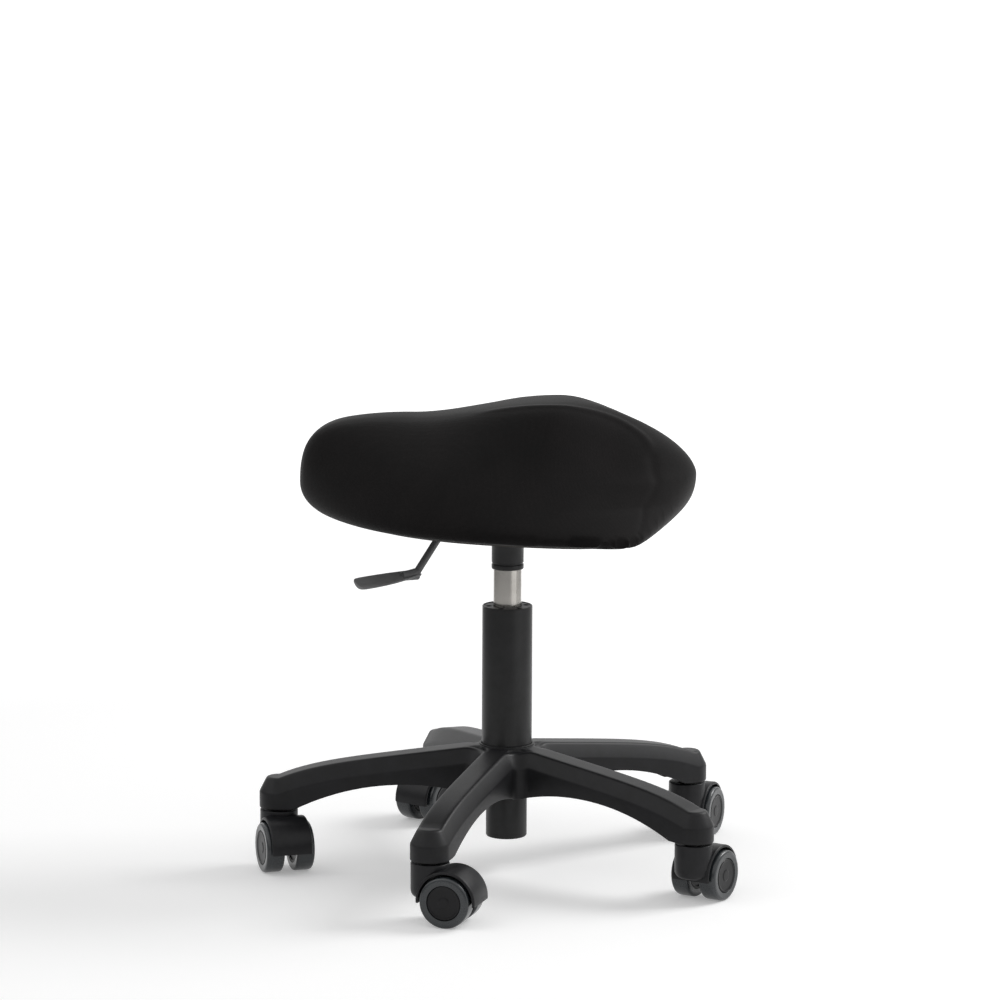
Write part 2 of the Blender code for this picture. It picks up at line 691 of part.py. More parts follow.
def build_base():
    """The moulded star with its lip ring, five stem sockets and the hollows underneath."""
    base = place(build_star(), NYLON, parent=STAND)
    lip = drum("base_lip", HUB_LIP_RADIUS, ARM_ROOT_Z - CUT_MARGIN, LIP_TOP_Z, COLUMN_FACETS)
    boolean(base, place(lip, parent=STAND), "UNION")
    bore = turned(
        "hub_bore",
        [
            (0.0, LIP_TOP_Z + CUT_MARGIN),
            (TUBE_RADIUS + FIT_GAP, LIP_TOP_Z + CUT_MARGIN),
            (TUBE_RADIUS + FIT_GAP, SWAGE_TOP_Z),
            (TUBE_NECK_RADIUS + FIT_GAP, TUBE_NECK_TOP_Z),
            (TUBE_NECK_RADIUS + FIT_GAP, HUB_FOOT_Z - CUT_MARGIN),
            (0.0, HUB_FOOT_Z - CUT_MARGIN),
        ],
        COLUMN_FACETS,
    )
    boolean(base, place(bore, parent=STAND))
    hollows = []
    for index in range(ARM_COUNT):
        spin = Matrix.Rotation(math.radians(FIRST_ARM_HEADING + index * 360.0 / ARM_COUNT), 4, "Z")
        inner = HUB_RADIUS + ARM_WALL
        outer = STEM_CIRCLE_RADIUS - STEM_RADIUS - SOCKET_WALL
        length = (outer - inner - (ARM_POCKETS - 1) * ARM_RIB) / ARM_POCKETS
        for pocket in range(ARM_POCKETS):
            start = inner + pocket * (length + ARM_RIB)
            hollow = arm_solid("hollow", start, start + length, 4, ARM_WALL, CUT_MARGIN)
            hollows.append((hollow, spin))
        socket = drum(
            "socket",
            STEM_RADIUS + FIT_GAP,
            ARM_FOOT_Z - CUT_MARGIN,
            STEM_TOP_Z + FIT_GAP,
            SMALL_FACETS,
        )
        hollows.append((socket, spin @ Matrix.Translation((STEM_CIRCLE_RADIUS, 0.0, 0.0))))
    boolean(base, place(fused_copies("base_hollows", hollows), parent=STAND))


def build_column():
    """The outer tube with its floor, and the guide bush in its mouth."""
    inner = TUBE_RADIUS - TUBE_WALL
    neck_inner = TUBE_NECK_RADIUS - TUBE_WALL
    tube = turned(
        "column_tube",
        [
            (TUBE_RADIUS - TUBE_TOP_CHAMFER, TUBE_TOP_Z),
            (TUBE_RADIUS, TUBE_TOP_Z - TUBE_TOP_CHAMFER),
            (TUBE_RADIUS, SWAGE_TOP_Z),
            (TUBE_NECK_RADIUS, TUBE_NECK_TOP_Z),
            (TUBE_NECK_RADIUS, TUBE_FOOT_Z + TUBE_FOOT_ROUND),
            (TUBE_NECK_RADIUS - TUBE_FOOT_ROUND * ROUND_SHARE, TUBE_FOOT_Z + TUBE_FOOT_ROUND * ROUND_SHARE),
            (TUBE_NECK_RADIUS - TUBE_FOOT_ROUND, TUBE_FOOT_Z),
            (TUBE_NECK_RADIUS - TUBE_FOOT_ROUND - TUBE_FOOT_LEDGE, TUBE_FOOT_Z),
            (TUBE_NECK_RADIUS - TUBE_FOOT_ROUND - TUBE_FOOT_LEDGE, TUBE_FLOOR_Z),
            (ROD_JOURNAL_RADIUS + TURNING_GAP, TUBE_FLOOR_Z),
            (ROD_JOURNAL_RADIUS + TURNING_GAP, TUBE_FLOOR_TOP_Z),
            (neck_inner, TUBE_FLOOR_TOP_Z),
            (neck_inner, TUBE_NECK_TOP_Z),
            (inner, SWAGE_TOP_Z),
            (inner, TUBE_TOP_Z),
        ],
        COLUMN_FACETS,
    )
    place(tube, COAT, parent=STAND)

    top = TUBE_TOP_Z - BUSH_TOP_DROP
    foot = top - BUSH_LENGTH
    outer = inner - FIT_GAP
    relief = outer - BUSH_RELIEF_DEPTH
    bore = CYLINDER_RADIUS + TURNING_GAP
    bush = turned(
        "guide_bush",
        [
            (bore, top),
            (outer, top),
            (outer, top - BUSH_RELIEF_INSET),
            (relief, top - BUSH_RELIEF_INSET - BUSH_RELIEF_DEPTH),
            (relief, foot + BUSH_RELIEF_INSET + BUSH_RELIEF_DEPTH),
            (outer, foot + BUSH_RELIEF_INSET),
            (outer, foot),
            (bore, foot),
        ],
        COLUMN_FACETS,
    )
    place(bush, NYLON, parent=STAND)
    middle = (bore + outer) / 2.0
    notches = []
    for index in range(BUSH_NOTCHES):
        notch = drum(
            "notch", BUSH_NOTCH_RADIUS, top - BUSH_NOTCH_DEPTH, top + CUT_MARGIN, SMALL_FACETS
        )
        spin = Matrix.Rotation(math.tau * (index + 0.5) / BUSH_NOTCHES, 4, "Z")
        notches.append((notch, spin @ Matrix.Translation((middle, 0.0, 0.0))))
    boolean(bush, place(fused_copies("bush_notches", notches), parent=STAND))


def ring(name, inner, outer, foot, top, facets, finish, parent):
    """A plain ring about the column."""
    made = turned(name, [(inner, top), (outer, top), (outer, foot), (inner, foot)], facets)
    return place(made, finish, parent=parent)


def build_thrust_bearing():
    """The clip under the tube's floor, and the washers and cage that the rod turns on."""
    journal_gap = ROD_JOURNAL_RADIUS + TURNING_GAP
    clip_top = TUBE_FLOOR_Z - FIT_GAP
    clip_inner = ROD_JOURNAL_RADIUS - CLIP_GROOVE_DEPTH + FIT_GAP
    ring(
        "retaining_clip",
        clip_inner,
        CLIP_RADIUS,
        clip_top - CLIP_THICKNESS,
        clip_top,
        SMALL_FACETS,
        STEEL,
        SPINDLE,
    )
    ring(
        "bearing_washer_lower",
        journal_gap,
        WASHER_RADIUS,
        LOWER_WASHER_Z,
        LOWER_WASHER_Z + WASHER_THICKNESS,
        NECK_FACETS,
        STEEL,
        STAND,
    )
    ring(
        "ball_cage",
        journal_gap,
        CAGE_RADIUS,
        CAGE_Z,
        CAGE_Z + CAGE_THICKNESS,
        NECK_FACETS,
        STEEL,
        STAND,
    )
    ring(
        "bearing_washer_upper",
        journal_gap,
        WASHER_RADIUS,
        UPPER_WASHER_Z,
        UPPER_WASHER_Z + WASHER_THICKNESS,
        NECK_FACETS,
        STEEL,
        SPINDLE,
    )
    ring(
        "bump_stop",
        ROD_RADIUS + FIT_GAP,
        BUMPER_RADIUS,
        ROD_SHOULDER_Z,
        ROD_SHOULDER_Z + BUMPER_HEIGHT,
        SMALL_FACETS,
        RUBBER,
        SPINDLE,
    )


def build_gas_spring():
    """The rod and piston that stay down, and the cylinder that rises with the seat."""
    tip = TUBE_FOOT_Z + ROD_TIP_RISE
    clip_top = TUBE_FLOOR_Z
    clip_foot = clip_top - CLIP_THICKNESS - 2.0 * FIT_GAP
    groove = ROD_JOURNAL_RADIUS - CLIP_GROOVE_DEPTH
    spigot = ROD_SPIGOT_RADIUS
    rod_top = PISTON_TOP_Z + END_GAP
    rod = turned(
        "piston_rod",
        [
            (0.0, rod_top),
            (spigot, rod_top),
            (spigot, PISTON_FOOT_Z - FIT_GAP),
            (ROD_RADIUS, PISTON_FOOT_Z - FIT_GAP),
            (ROD_RADIUS, ROD_SHOULDER_Z),
            (ROD_JOURNAL_RADIUS, ROD_SHOULDER_Z),
            (ROD_JOURNAL_RADIUS, clip_top),
            (groove, clip_top),
            (groove, clip_foot),
            (ROD_JOURNAL_RADIUS, clip_foot),
            (ROD_JOURNAL_RADIUS, tip),
            (0.0, tip),
        ],
        SMALL_FACETS,
    )
    place(rod, STEEL, parent=SPINDLE)
    ring(
        "piston",
        spigot + FIT_GAP,
        CYLINDER_RADIUS - CYLINDER_WALL - TURNING_GAP,
        PISTON_FOOT_Z,
        PISTON_TOP_Z,
        NECK_FACETS,
        NYLON,
        SPINDLE,
    )
    plug_bore = ROD_RADIUS + TURNING_GAP
    plug_top = CYLINDER_FOOT_Z + CYLINDER_PLUG
    cavity = CYLINDER_RADIUS - CYLINDER_WALL
    valve_bore = VALVE_RADIUS + TURNING_GAP
    cylinder = turned(
        "gas_cylinder",
        [
            (valve_bore, CYLINDER_TOP_Z),
            (CYLINDER_TAPER_RADIUS, CYLINDER_TOP_Z),
            (CYLINDER_RADIUS, CYLINDER_TAPER_Z),
            (CYLINDER_RADIUS, CYLINDER_FOOT_Z),
            (plug_bore, CYLINDER_FOOT_Z),
            (plug_bore, plug_top),
            (cavity, plug_top),
            (cavity, CYLINDER_CAVITY_TOP_Z),
            (valve_bore, CYLINDER_CAVITY_TOP_Z),
        ],
        COLUMN_FACETS,
    )
    place(cylinder, STEEL, parent=SEAT)
    valve_top = LEVER_Z - LEVER_ROD_RADIUS - FIT_GAP
    valve = turned(
        "valve_button",
        [
            (0.0, valve_top),
            (VALVE_RADIUS, valve_top),
            (VALVE_RADIUS, valve_top - VALVE_LENGTH),
            (0.0, valve_top - VALVE_LENGTH),
        ],
        SMALL_FACETS,
    )
    place(valve, STEEL, parent=SEAT)


def rounded_rectangle(length, width, corner, height, per_corner=3):
    """Points of a rounded rectangle, its length along Y, at a height."""
    points = []
    for across, along, start in ((1, 1, 0.0), (-1, 1, 90.0), (-1, -1, 180.0), (1, -1, 270.0)):
        centre = (across * (width / 2.0 - corner), along * (length / 2.0 - corner))
        points += arc(centre, corner, start, start + 90.0, per_corner)
    return [(x, y, height) for x, y in points]


def build_seat_plate():
    """The pressed plate with its sleeve on the cylinder's taper, its ears and its four bolts."""
    flange_z = FLANGE_TOP_Z
    form = bmesh.new()
    slope = 2.0 * PLATE_PAN_SLOPE
    sections = [
        rounded_rectangle(PLATE_LENGTH, PLATE_WIDTH, PLATE_CORNER, flange_z),
        rounded_rectangle(PLATE_PAN_LENGTH, PLATE_PAN_WIDTH, PLATE_CORNER, flange_z),
        rounded_rectangle(
            PLATE_PAN_LENGTH - slope, PLATE_PAN_WIDTH - slope, PLATE_FLOOR_CORNER, PLATE_FLOOR_Z
        ),
    ]
    rows = [[form.verts.new(point) for point in section] for section in sections]
    for outer, inner in zip(rows, rows[1:]):
        for at in range(len(outer)):
            beside = (at + 1) % len(outer)
            form.faces.new((outer[at], outer[beside], inner[beside], inner[at]))
    form.faces.new(rows[-1])
    plate = mesh_object("mechanism_plate", form)
    place(plate, COAT, parent=SEAT)
    shell = plate.modifiers.new("Sheet", "SOLIDIFY")
    shell.thickness = PLATE_THICKNESS
    shell.offset = -1.0 if plate.data.polygons[0].normal.z > 0.0 else 1.0
    shell.use_even_offset = True

    sleeve = turned(
        "plate_sleeve",
        [
            (0.0, PLATE_FLOOR_Z - SLEEVE_WELD),
            (SLEEVE_RADIUS, PLATE_FLOOR_Z - SLEEVE_WELD),
            (SLEEVE_RADIUS, SLEEVE_FOOT_Z + SLEEVE_RING_HEIGHT + SLEEVE_GROOVE * 2.0),
            (SLEEVE_RADIUS - SLEEVE_GROOVE, SLEEVE_FOOT_Z + SLEEVE_RING_HEIGHT + SLEEVE_GROOVE),
            (SLEEVE_RADIUS, SLEEVE_FOOT_Z + SLEEVE_RING_HEIGHT),
            (SLEEVE_RADIUS, SLEEVE_FOOT_Z + SLEEVE_CHAMFER),
            (SLEEVE_RADIUS - SLEEVE_CHAMFER, SLEEVE_FOOT_Z),
            (0.0, SLEEVE_FOOT_Z),
        ],
        COLUMN_FACETS,
    )
    boolean(plate, place(sleeve, parent=SEAT), "UNION")
    ear_centre = YOKE_WIDTH / 2.0 + FIT_GAP + EAR_THICKNESS / 2.0
    for side in (-1.0, 1.0):
        ear = box(
            f"plate_ear_{'left' if side < 0.0 else 'right'}",
            (
                LEVER_PIVOT_RADIUS - EAR_LENGTH / 2.0,
                side * ear_centre - EAR_THICKNESS / 2.0,
                PLATE_FLOOR_Z - PLATE_THICKNESS / 2.0,
            ),
            (
                LEVER_PIVOT_RADIUS + EAR_LENGTH / 2.0,
                side * ear_centre + EAR_THICKNESS / 2.0,
                LEVER_Z + PIN_RADIUS + EAR_HEAD,
            ),
        )
        boolean(plate, place(ear, parent=LEVER_LINE), "UNION")
    bore = turned(
        "sleeve_bore",
        [
            (0.0, PLATE_FLOOR_Z + CUT_MARGIN),
            (CYLINDER_TAPER_RADIUS + FIT_GAP, PLATE_FLOOR_Z + CUT_MARGIN),
            (CYLINDER_TAPER_RADIUS + FIT_GAP, CYLINDER_TOP_Z),
            (CYLINDER_RADIUS + FIT_GAP, CYLINDER_TAPER_Z),
            (CYLINDER_RADIUS + FIT_GAP, SLEEVE_FOOT_Z - CUT_MARGIN),
            (0.0, SLEEVE_FOOT_Z - CUT_MARGIN),
        ],
        COLUMN_FACETS,
    )
    boolean(plate, place(bore, parent=SEAT))
    slot_start = LEVER_PIVOT_RADIUS + EAR_LENGTH / 2.0 + END_GAP
    slot_end = LEVER_BEND_RADIUS + LEVER_SLOT_PAST_BEND
    slot = box(
        "lever_slot",
        (slot_start, -LEVER_SLOT_HALF_WIDTH, PLATE_FLOOR_Z + END_GAP),
        (slot_end, LEVER_SLOT_HALF_WIDTH, SEAT_BASE_Z + CUT_MARGIN),
    )
    boolean(plate, place(slot, parent=LEVER_LINE))
    reach = YOKE_WIDTH + CUT_MARGIN
    pin_hole = drum("pin_hole", PIN_RADIUS + FIT_GAP, -reach, reach, SMALL_FACETS)
    place(
        pin_hole,
        location=(LEVER_PIVOT_RADIUS, 0.0, LEVER_Z),
        rotation=(math.radians(90.0), 0.0, 0.0),
        parent=LEVER_LINE,
    )
    boolean(plate, pin_hole)
    holes = []
    for index, (across, along) in enumerate(BOLT_PLACES):
        hole = drum(
            "hole",
            BOLT_RADIUS + FIT_GAP,
            flange_z - CUT_MARGIN,
            flange_z + CUT_MARGIN,
            SMALL_FACETS,
        )
        holes.append((hole, Matrix.Translation((across, along, 0.0))))
        seat_z = flange_z - PLATE_THICKNESS - FIT_GAP
        bolt = turned(
            f"plate_bolt_{index + 1}",
            [
                (0.0, seat_z + PLATE_THICKNESS + BOLT_ENGAGEMENT),
                (BOLT_RADIUS, seat_z + PLATE_THICKNESS + BOLT_ENGAGEMENT),
                (BOLT_RADIUS, seat_z),
                (BOLT_HEAD_RADIUS, seat_z),
                (BOLT_HEAD_RADIUS, seat_z - BOLT_HEAD_HEIGHT * BOLT_RIM_SHARE),
                (BOLT_HEAD_RADIUS * BOLT_CROWN_SHARE, seat_z - BOLT_HEAD_HEIGHT),
                (BOLT_SOCKET_RADIUS, seat_z - BOLT_HEAD_HEIGHT),
                (BOLT_SOCKET_RADIUS, seat_z - BOLT_HEAD_HEIGHT + BOLT_SOCKET_DEPTH),
                (0.0, seat_z - BOLT_HEAD_HEIGHT + BOLT_SOCKET_DEPTH),
            ],
            SMALL_FACETS,
        )
        place(bolt, STEEL, location=(across, along, 0.0), parent=SEAT)
    boolean(plate, place(fused_copies("plate_holes", holes), parent=SEAT))


def lever_path():
    """Points of the lever rod's centre line from its pivot, along X and Z."""
    bend = (LEVER_BEND_RADIUS - LEVER_PIVOT_RADIUS, 0.0)
    low = (LEVER_LOW_RADIUS - LEVER_PIVOT_RADIUS, LEVER_LOW_Z - LEVER_Z)
    slope = PADDLE_DROP / PADDLE_LENGTH
    end = (low[0] + LEVER_SOCKET_DEPTH, low[1] - slope * LEVER_SOCKET_DEPTH)
    route = [(-LEVER_PIVOT_RADIUS - LEVER_INNER_END, 0.0), bend, low, end]
    points = [route[0]]
    for before, corner, after in zip(route, route[1:], route[2:]):
        near = Vector(corner) + (Vector(before) - Vector(corner)).normalized() * LEVER_BEND_ROUND
        far = Vector(corner) + (Vector(after) - Vector(corner)).normalized() * LEVER_BEND_ROUND
        for step in range(4):
            along = step / 3.0
            inward = near.lerp(Vector(corner), along)
            outward = Vector(corner).lerp(far, along)
            points.append(tuple(inward.lerp(outward, along)))
    points.append(route[-1])
    return points


def build_lever():
    """The release lever: bent rod with its yoke, paddle and pivot pin."""
    curve = bpy.data.curves.new("lever_rod_line", "CURVE")
    curve.dimensions = "3D"
    curve.bevel_depth = LEVER_ROD_RADIUS
    curve.bevel_resolution = 2
    curve.use_fill_caps = True
    line = curve.splines.new("POLY")
    path = lever_path()
    line.points.add(len(path) - 1)
    for point, (along, height) in zip(line.points, path):
        point.co = (along, 0.0, height, 1.0)
    wire = bpy.data.objects.new("lever_rod_line", curve)
    CUTTERS.objects.link(wire)
    graph = bpy.context.evaluated_depsgraph_get()
    graph.update()
    mesh = bpy.data.meshes.new_from_object(wire.evaluated_get(graph))
    form = bmesh.new()
    form.from_mesh(mesh)
    bmesh.ops.remove_doubles(form, verts=form.verts, dist=MERGE_DISTANCE)
    bpy.data.meshes.remove(mesh)
    bpy.data.objects.remove(wire)
    rod = mesh_object("lever_rod", form)
    place(rod, COAT, parent=LEVER_PIVOT)
    yoke = box(
        "lever_yoke",
        (-YOKE_LENGTH / 2.0, -YOKE_WIDTH / 2.0, -YOKE_HEIGHT / 2.0),
        (YOKE_LENGTH / 2.0, YOKE_WIDTH / 2.0, YOKE_HEIGHT / 2.0),
    )
    boolean(rod, place(yoke, parent=LEVER_PIVOT), "UNION")
    reach = YOKE_WIDTH + CUT_MARGIN
    bore = drum("yoke_bore", PIN_RADIUS + FIT_GAP, -reach, reach, SMALL_FACETS)
    boolean(rod, place(bore, rotation=(math.radians(90.0), 0.0, 0.0), parent=LEVER_PIVOT))
    half = YOKE_WIDTH / 2.0 + FIT_GAP + EAR_THICKNESS + 2.0 * FIT_GAP
    pin = drum("lever_pivot_pin", PIN_RADIUS, -half, half, SMALL_FACETS)
    place(
        pin,
        STEEL,
        location=(LEVER_PIVOT_RADIUS, 0.0, LEVER_Z),
        rotation=(math.radians(90.0), 0.0, 0.0),
        parent=LEVER_LINE,
    )
    build_paddle()


def build_paddle():
    """The moulded paddle, a thin dished blade with a boss that takes the rod's end."""
    start = Vector((LEVER_LOW_RADIUS - LEVER_PIVOT_RADIUS - PADDLE_START_BACK, 0.0, LEVER_LOW_Z - LEVER_Z))
    half_thick = PADDLE_THICKNESS / 2.0
    rings = []
    for along, share in PADDLE_WIDTHS:
        half = PADDLE_WIDTH * share / 2.0
        thin = half_thick * (1.0 if along < PADDLE_THIN_START else PADDLE_THIN_SHARE)
        dish = PADDLE_DISH * share
        middle = -PADDLE_DROP * along - PADDLE_SAG * math.sin(math.pi * along)
        section = []
        for across in (-1.0, -0.5, 0.0, 0.5, 1.0):
            edge = PADDLE_EDGE_SHARE if abs(across) == 1.0 else 1.0
            section.append((across * half, middle + dish * across**2 - thin * edge))
        for across in (1.0, 0.5, 0.0, -0.5, -1.0):
            edge = PADDLE_EDGE_SHARE if abs(across) == 1.0 else 1.0
            section.append((across * half, middle + dish * across**2 + thin * edge))
        rings.append([(along * PADDLE_LENGTH, y, z) for y, z in section])
    paddle = loft("lever_handle", rings)
    roll = (math.radians(PADDLE_ROLL), 0.0, 0.0)
    place(paddle, NYLON, location=start, rotation=roll, parent=LEVER_PIVOT)
    tilt = math.atan2(PADDLE_DROP, PADDLE_LENGTH)
    line = (0.0, math.radians(90.0) + tilt, 0.0)
    mouth = start + Vector((PADDLE_BOSS_STEP, 0.0, 0.0))
    boss = drum(
        "paddle_boss",
        PADDLE_BOSS_RADIUS,
        0.0,
        LEVER_SOCKET_DEPTH + PADDLE_BOSS_OVERHANG,
        SMALL_FACETS,
        PADDLE_BOSS_NOSE_RADIUS,
    )
    boolean(paddle, place(boss, location=mouth, rotation=line, parent=LEVER_PIVOT), "UNION")
    end_line = lever_path()[5:]
    radius = LEVER_ROD_RADIUS + FIT_GAP
    sections = []
    for here, (along, height) in enumerate(end_line):
        before = Vector(end_line[max(here - 1, 0)])
        after = Vector(end_line[min(here + 1, len(end_line) - 1)])
        forward = (after - before).normalized()
        centre = Vector((along, 0.0, height))
        if here == len(end_line) - 1:
            centre += Vector((forward.x, 0.0, forward.y)) * FIT_GAP
        upward = Vector((-forward.y, 0.0, forward.x))
        angles = [math.tau * at / SMALL_FACETS for at in range(SMALL_FACETS)]
        circle = [
            centre + radius * (math.cos(a) * Vector((0.0, 1.0, 0.0)) + math.sin(a) * upward)
            for a in angles
        ]
        sections.append(circle)
    socket = loft("paddle_socket", sections)
    boolean(paddle, place(socket, parent=LEVER_PIVOT))


def build_castor(index):
    """One castor: stem in its arm, hooded housing, axle and two wheels with their treads."""
    arm_heading = math.radians(FIRST_ARM_HEADING + index * 360.0 / ARM_COUNT)
    spot = (STEM_CIRCLE_RADIUS * math.cos(arm_heading), STEM_CIRCLE_RADIUS * math.sin(arm_heading), 0.0)
    number = index + 1
    swivel = new_empty(f"castor_{number}_swivel", spot, CASTOR_HEADINGS[index])
    flange_foot = NECK_TOP_Z + FIT_GAP
    flange_top = flange_foot + STEM_FLANGE_THICKNESS
    stem = turned(
        f"castor_{number}_stem",
        [
            (0.0, STEM_TOP_Z),
            (STEM_RADIUS, STEM_TOP_Z),
            (STEM_RADIUS, flange_top),
            (STEM_FLANGE_RADIUS, flange_top),
            (STEM_FLANGE_RADIUS, flange_foot),
            (STEM_JOURNAL_RADIUS, flange_foot),
            (STEM_JOURNAL_RADIUS, NECK_TOP_Z - STEM_JOURNAL_LENGTH),
            (0.0, NECK_TOP_Z - STEM_JOURNAL_LENGTH),
        ],
        SMALL_FACETS,
    )
    place(stem, STEEL, location=spot, parent=STAND)
    build_housing(number, swivel)
    along_axle = (math.radians(-90.0), 0.0, 0.0)
    axle = drum(
        f"castor_{number}_axle", AXLE_RADIUS, -AXLE_HALF_LENGTH, AXLE_HALF_LENGTH, SMALL_FACETS
    )
    place(axle, STEEL, location=AXLE_PLACE, rotation=along_axle, parent=swivel)
    for side, angle in (("left", -90.0), ("right", 90.0)):
        turn = (math.radians(angle), math.pi / WHEEL_FACETS, 0.0)
        core = wheel_core(f"castor_{number}_wheel_{side}")
        place(core, NYLON, location=AXLE_PLACE, rotation=turn, parent=swivel)
        tread = wheel_tread(f"castor_{number}_tread_{side}")
        place(tread, TREAD, location=AXLE_PLACE, rotation=turn, parent=swivel)


def build_housing(number, swivel):
    """The castor's neck, hood and web in one moulding."""
    housing = turned(
        f"castor_{number}_housing",
        [
            (0.0, NECK_TOP_Z),
            (NECK_RADIUS - NECK_CHAMFER, NECK_TOP_Z),
            (NECK_RADIUS, NECK_TOP_Z - NECK_CHAMFER),
            (NECK_RADIUS, NECK_FOOT_Z + NECK_FOOT_ROUND),
            (NECK_RADIUS - NECK_FOOT_ROUND * ROUND_SHARE, NECK_FOOT_Z + NECK_FOOT_ROUND * ROUND_SHARE),
            (NECK_RADIUS - NECK_FOOT_ROUND, NECK_FOOT_Z),
            (0.0, NECK_FOOT_Z),
        ],
        NECK_FACETS,
    )
    place(housing, NYLON, parent=swivel)
    across = (math.radians(-90.0), 0.0, 0.0)
    hood = drum(
        f"hood_{number}", HOOD_RADIUS, -HOOD_HALF_WIDTH, HOOD_HALF_WIDTH, HOOD_FACETS
    )
    place(hood, location=AXLE_PLACE, rotation=across, parent=swivel)
    boolean(housing, hood, "UNION")
    past = HOOD_RADIUS + CUT_MARGIN
    under = box(
        f"hood_underside_{number}",
        (CASTOR_TRAIL - past, -past, -CUT_MARGIN),
        (CASTOR_TRAIL + past, past, HOOD_REAR_EDGE_Z),
    )
    boolean(housing, place(under, parent=swivel))
    rooms = []
    for side in (-1.0, 1.0):
        low = side * WEB_HALF_WIDTH
        high = side * (HOOD_HALF_WIDTH + CUT_MARGIN)
        room = drum("room", HOOD_INNER_RADIUS, min(low, high), max(low, high), HOOD_FACETS)
        rooms.append((room, Matrix.Identity(4)))
    wheel_rooms = fused_copies(f"wheel_rooms_{number}", rooms)
    boolean(housing, place(wheel_rooms, location=AXLE_PLACE, rotation=across, parent=swivel))
    axle_hole = drum(f"axle_hole_{number}", AXLE_RADIUS + FIT_GAP, -past, past, SMALL_FACETS)
    hub = drum(
        f"axle_boss_{number}", AXLE_BOSS_RADIUS, -WEB_HALF_WIDTH, WEB_HALF_WIDTH, NECK_FACETS
    )
    boolean(housing, place(hub, location=AXLE_PLACE, rotation=across, parent=swivel), "UNION")
    boolean(housing, place(axle_hole, location=AXLE_PLACE, rotation=across, parent=swivel))
    stem_hole = drum(
        f"stem_hole_{number}",
        STEM_JOURNAL_RADIUS + FIT_GAP,
        NECK_TOP_Z - STEM_JOURNAL_LENGTH - FIT_GAP,
        NECK_TOP_Z + CUT_MARGIN,
        SMALL_FACETS,
    )
    boolean(housing, place(stem_hole, parent=swivel))


def wheel_core(name):
    """A wheel's moulded centre, with a blind bore for the axle from the web's side."""
    rim = WHEEL_FACE_RADIUS - FIT_GAP
    hub_bore = AXLE_RADIUS + FIT_GAP
    outline = [
        (0.0, WHEEL_OUTER_FACE),
        (rim, WHEEL_OUTER_FACE - WHEEL_FACE_FALL),
        (rim, WHEEL_INNER_FACE),
        (hub_bore, WHEEL_INNER_FACE),
        (hub_bore, AXLE_HALF_LENGTH + FIT_GAP),
        (0.0, AXLE_HALF_LENGTH + FIT_GAP),
    ]
    return turned(name, outline, WHEEL_FACETS)


def wheel_tread(name):
    """A wheel's soft tread, its lowest facet flat on the floor."""
    stretch = 1.0 / math.cos(math.pi / WHEEL_FACETS)
    outer = WHEEL_RADIUS * stretch
    shoulder = outer - WHEEL_FACE_RADIUS
    round_edge = arc((WHEEL_FACE_RADIUS, WHEEL_TREAD_EDGE), shoulder, 0.0, 90.0, 2)
    outline = [(WHEEL_FACE_RADIUS, WHEEL_INNER_FACE), (outer, WHEEL_INNER_FACE)]
    outline += round_edge
    return turned(name, outline, WHEEL_FACETS)


def board_outline(inset):
    """The seat board's outline, the saddle's base drawn in by an inset."""
    angles = np.linspace(0.0, math.tau, BOARD_OUTLINE_POINTS, endpoint=False)
    directions = np.stack([np.cos(angles), np.sin(angles)], axis=1)

    def field(places):
        side, rear = wall_fields(places[:, 0], places[:, 1], 1.0)
        return smooth_max([side, rear], SADDLE_CORNER_SOFTNESS) + inset

    reach = surface_distances(field, np.zeros(2), directions, SADDLE_SEARCH)
    return directions * reach[:, None]


def prism(name, outline, foot, top):
    """An upright solid on an outline."""
    rings = [[(x, y, z) for x, y in outline] for z in (foot, top)]
    return loft(name, rings)


def build_board():
    """The plywood board inside the cushion, bored for the four bolts."""
    top = SEAT_BASE_Z + BOARD_THICKNESS
    board = prism("seat_board", board_outline(BOARD_INSET), SEAT_BASE_Z, top)
    place(board, PLYWOOD, parent=SEAT)
    holes = []
    depth = FLANGE_TOP_Z + BOLT_ENGAGEMENT
    for across, along in BOLT_PLACES:
        hole = drum("hole", BOLT_RADIUS + FIT_GAP, SEAT_BASE_Z - CUT_MARGIN, depth, SMALL_FACETS)
        holes.append((hole, Matrix.Translation((across, along, 0.0))))
    boolean(board, place(fused_copies("board_holes", holes), parent=SEAT))


def crease_field(points):
    """Positive on the saddle's rear and crest and negative on its flanks and side walls."""
    x = points[:, 0]
    y = points[:, 1]
    height = points[:, 2] - SEAT_BASE_Z
    crest = crest_height(y)
    low = np.clip((SADDLE_BELLY_HEIGHT - height) / SADDLE_BELLY_HEIGHT, 0.0, 3.0)
    side, rear = wall_fields(x, y, low**2)
    behind = np.maximum.reduce([height - crest, rear_roll_field(x, y, height), rear])
    return behind - np.maximum(flank_field(x, y, height, crest), side)


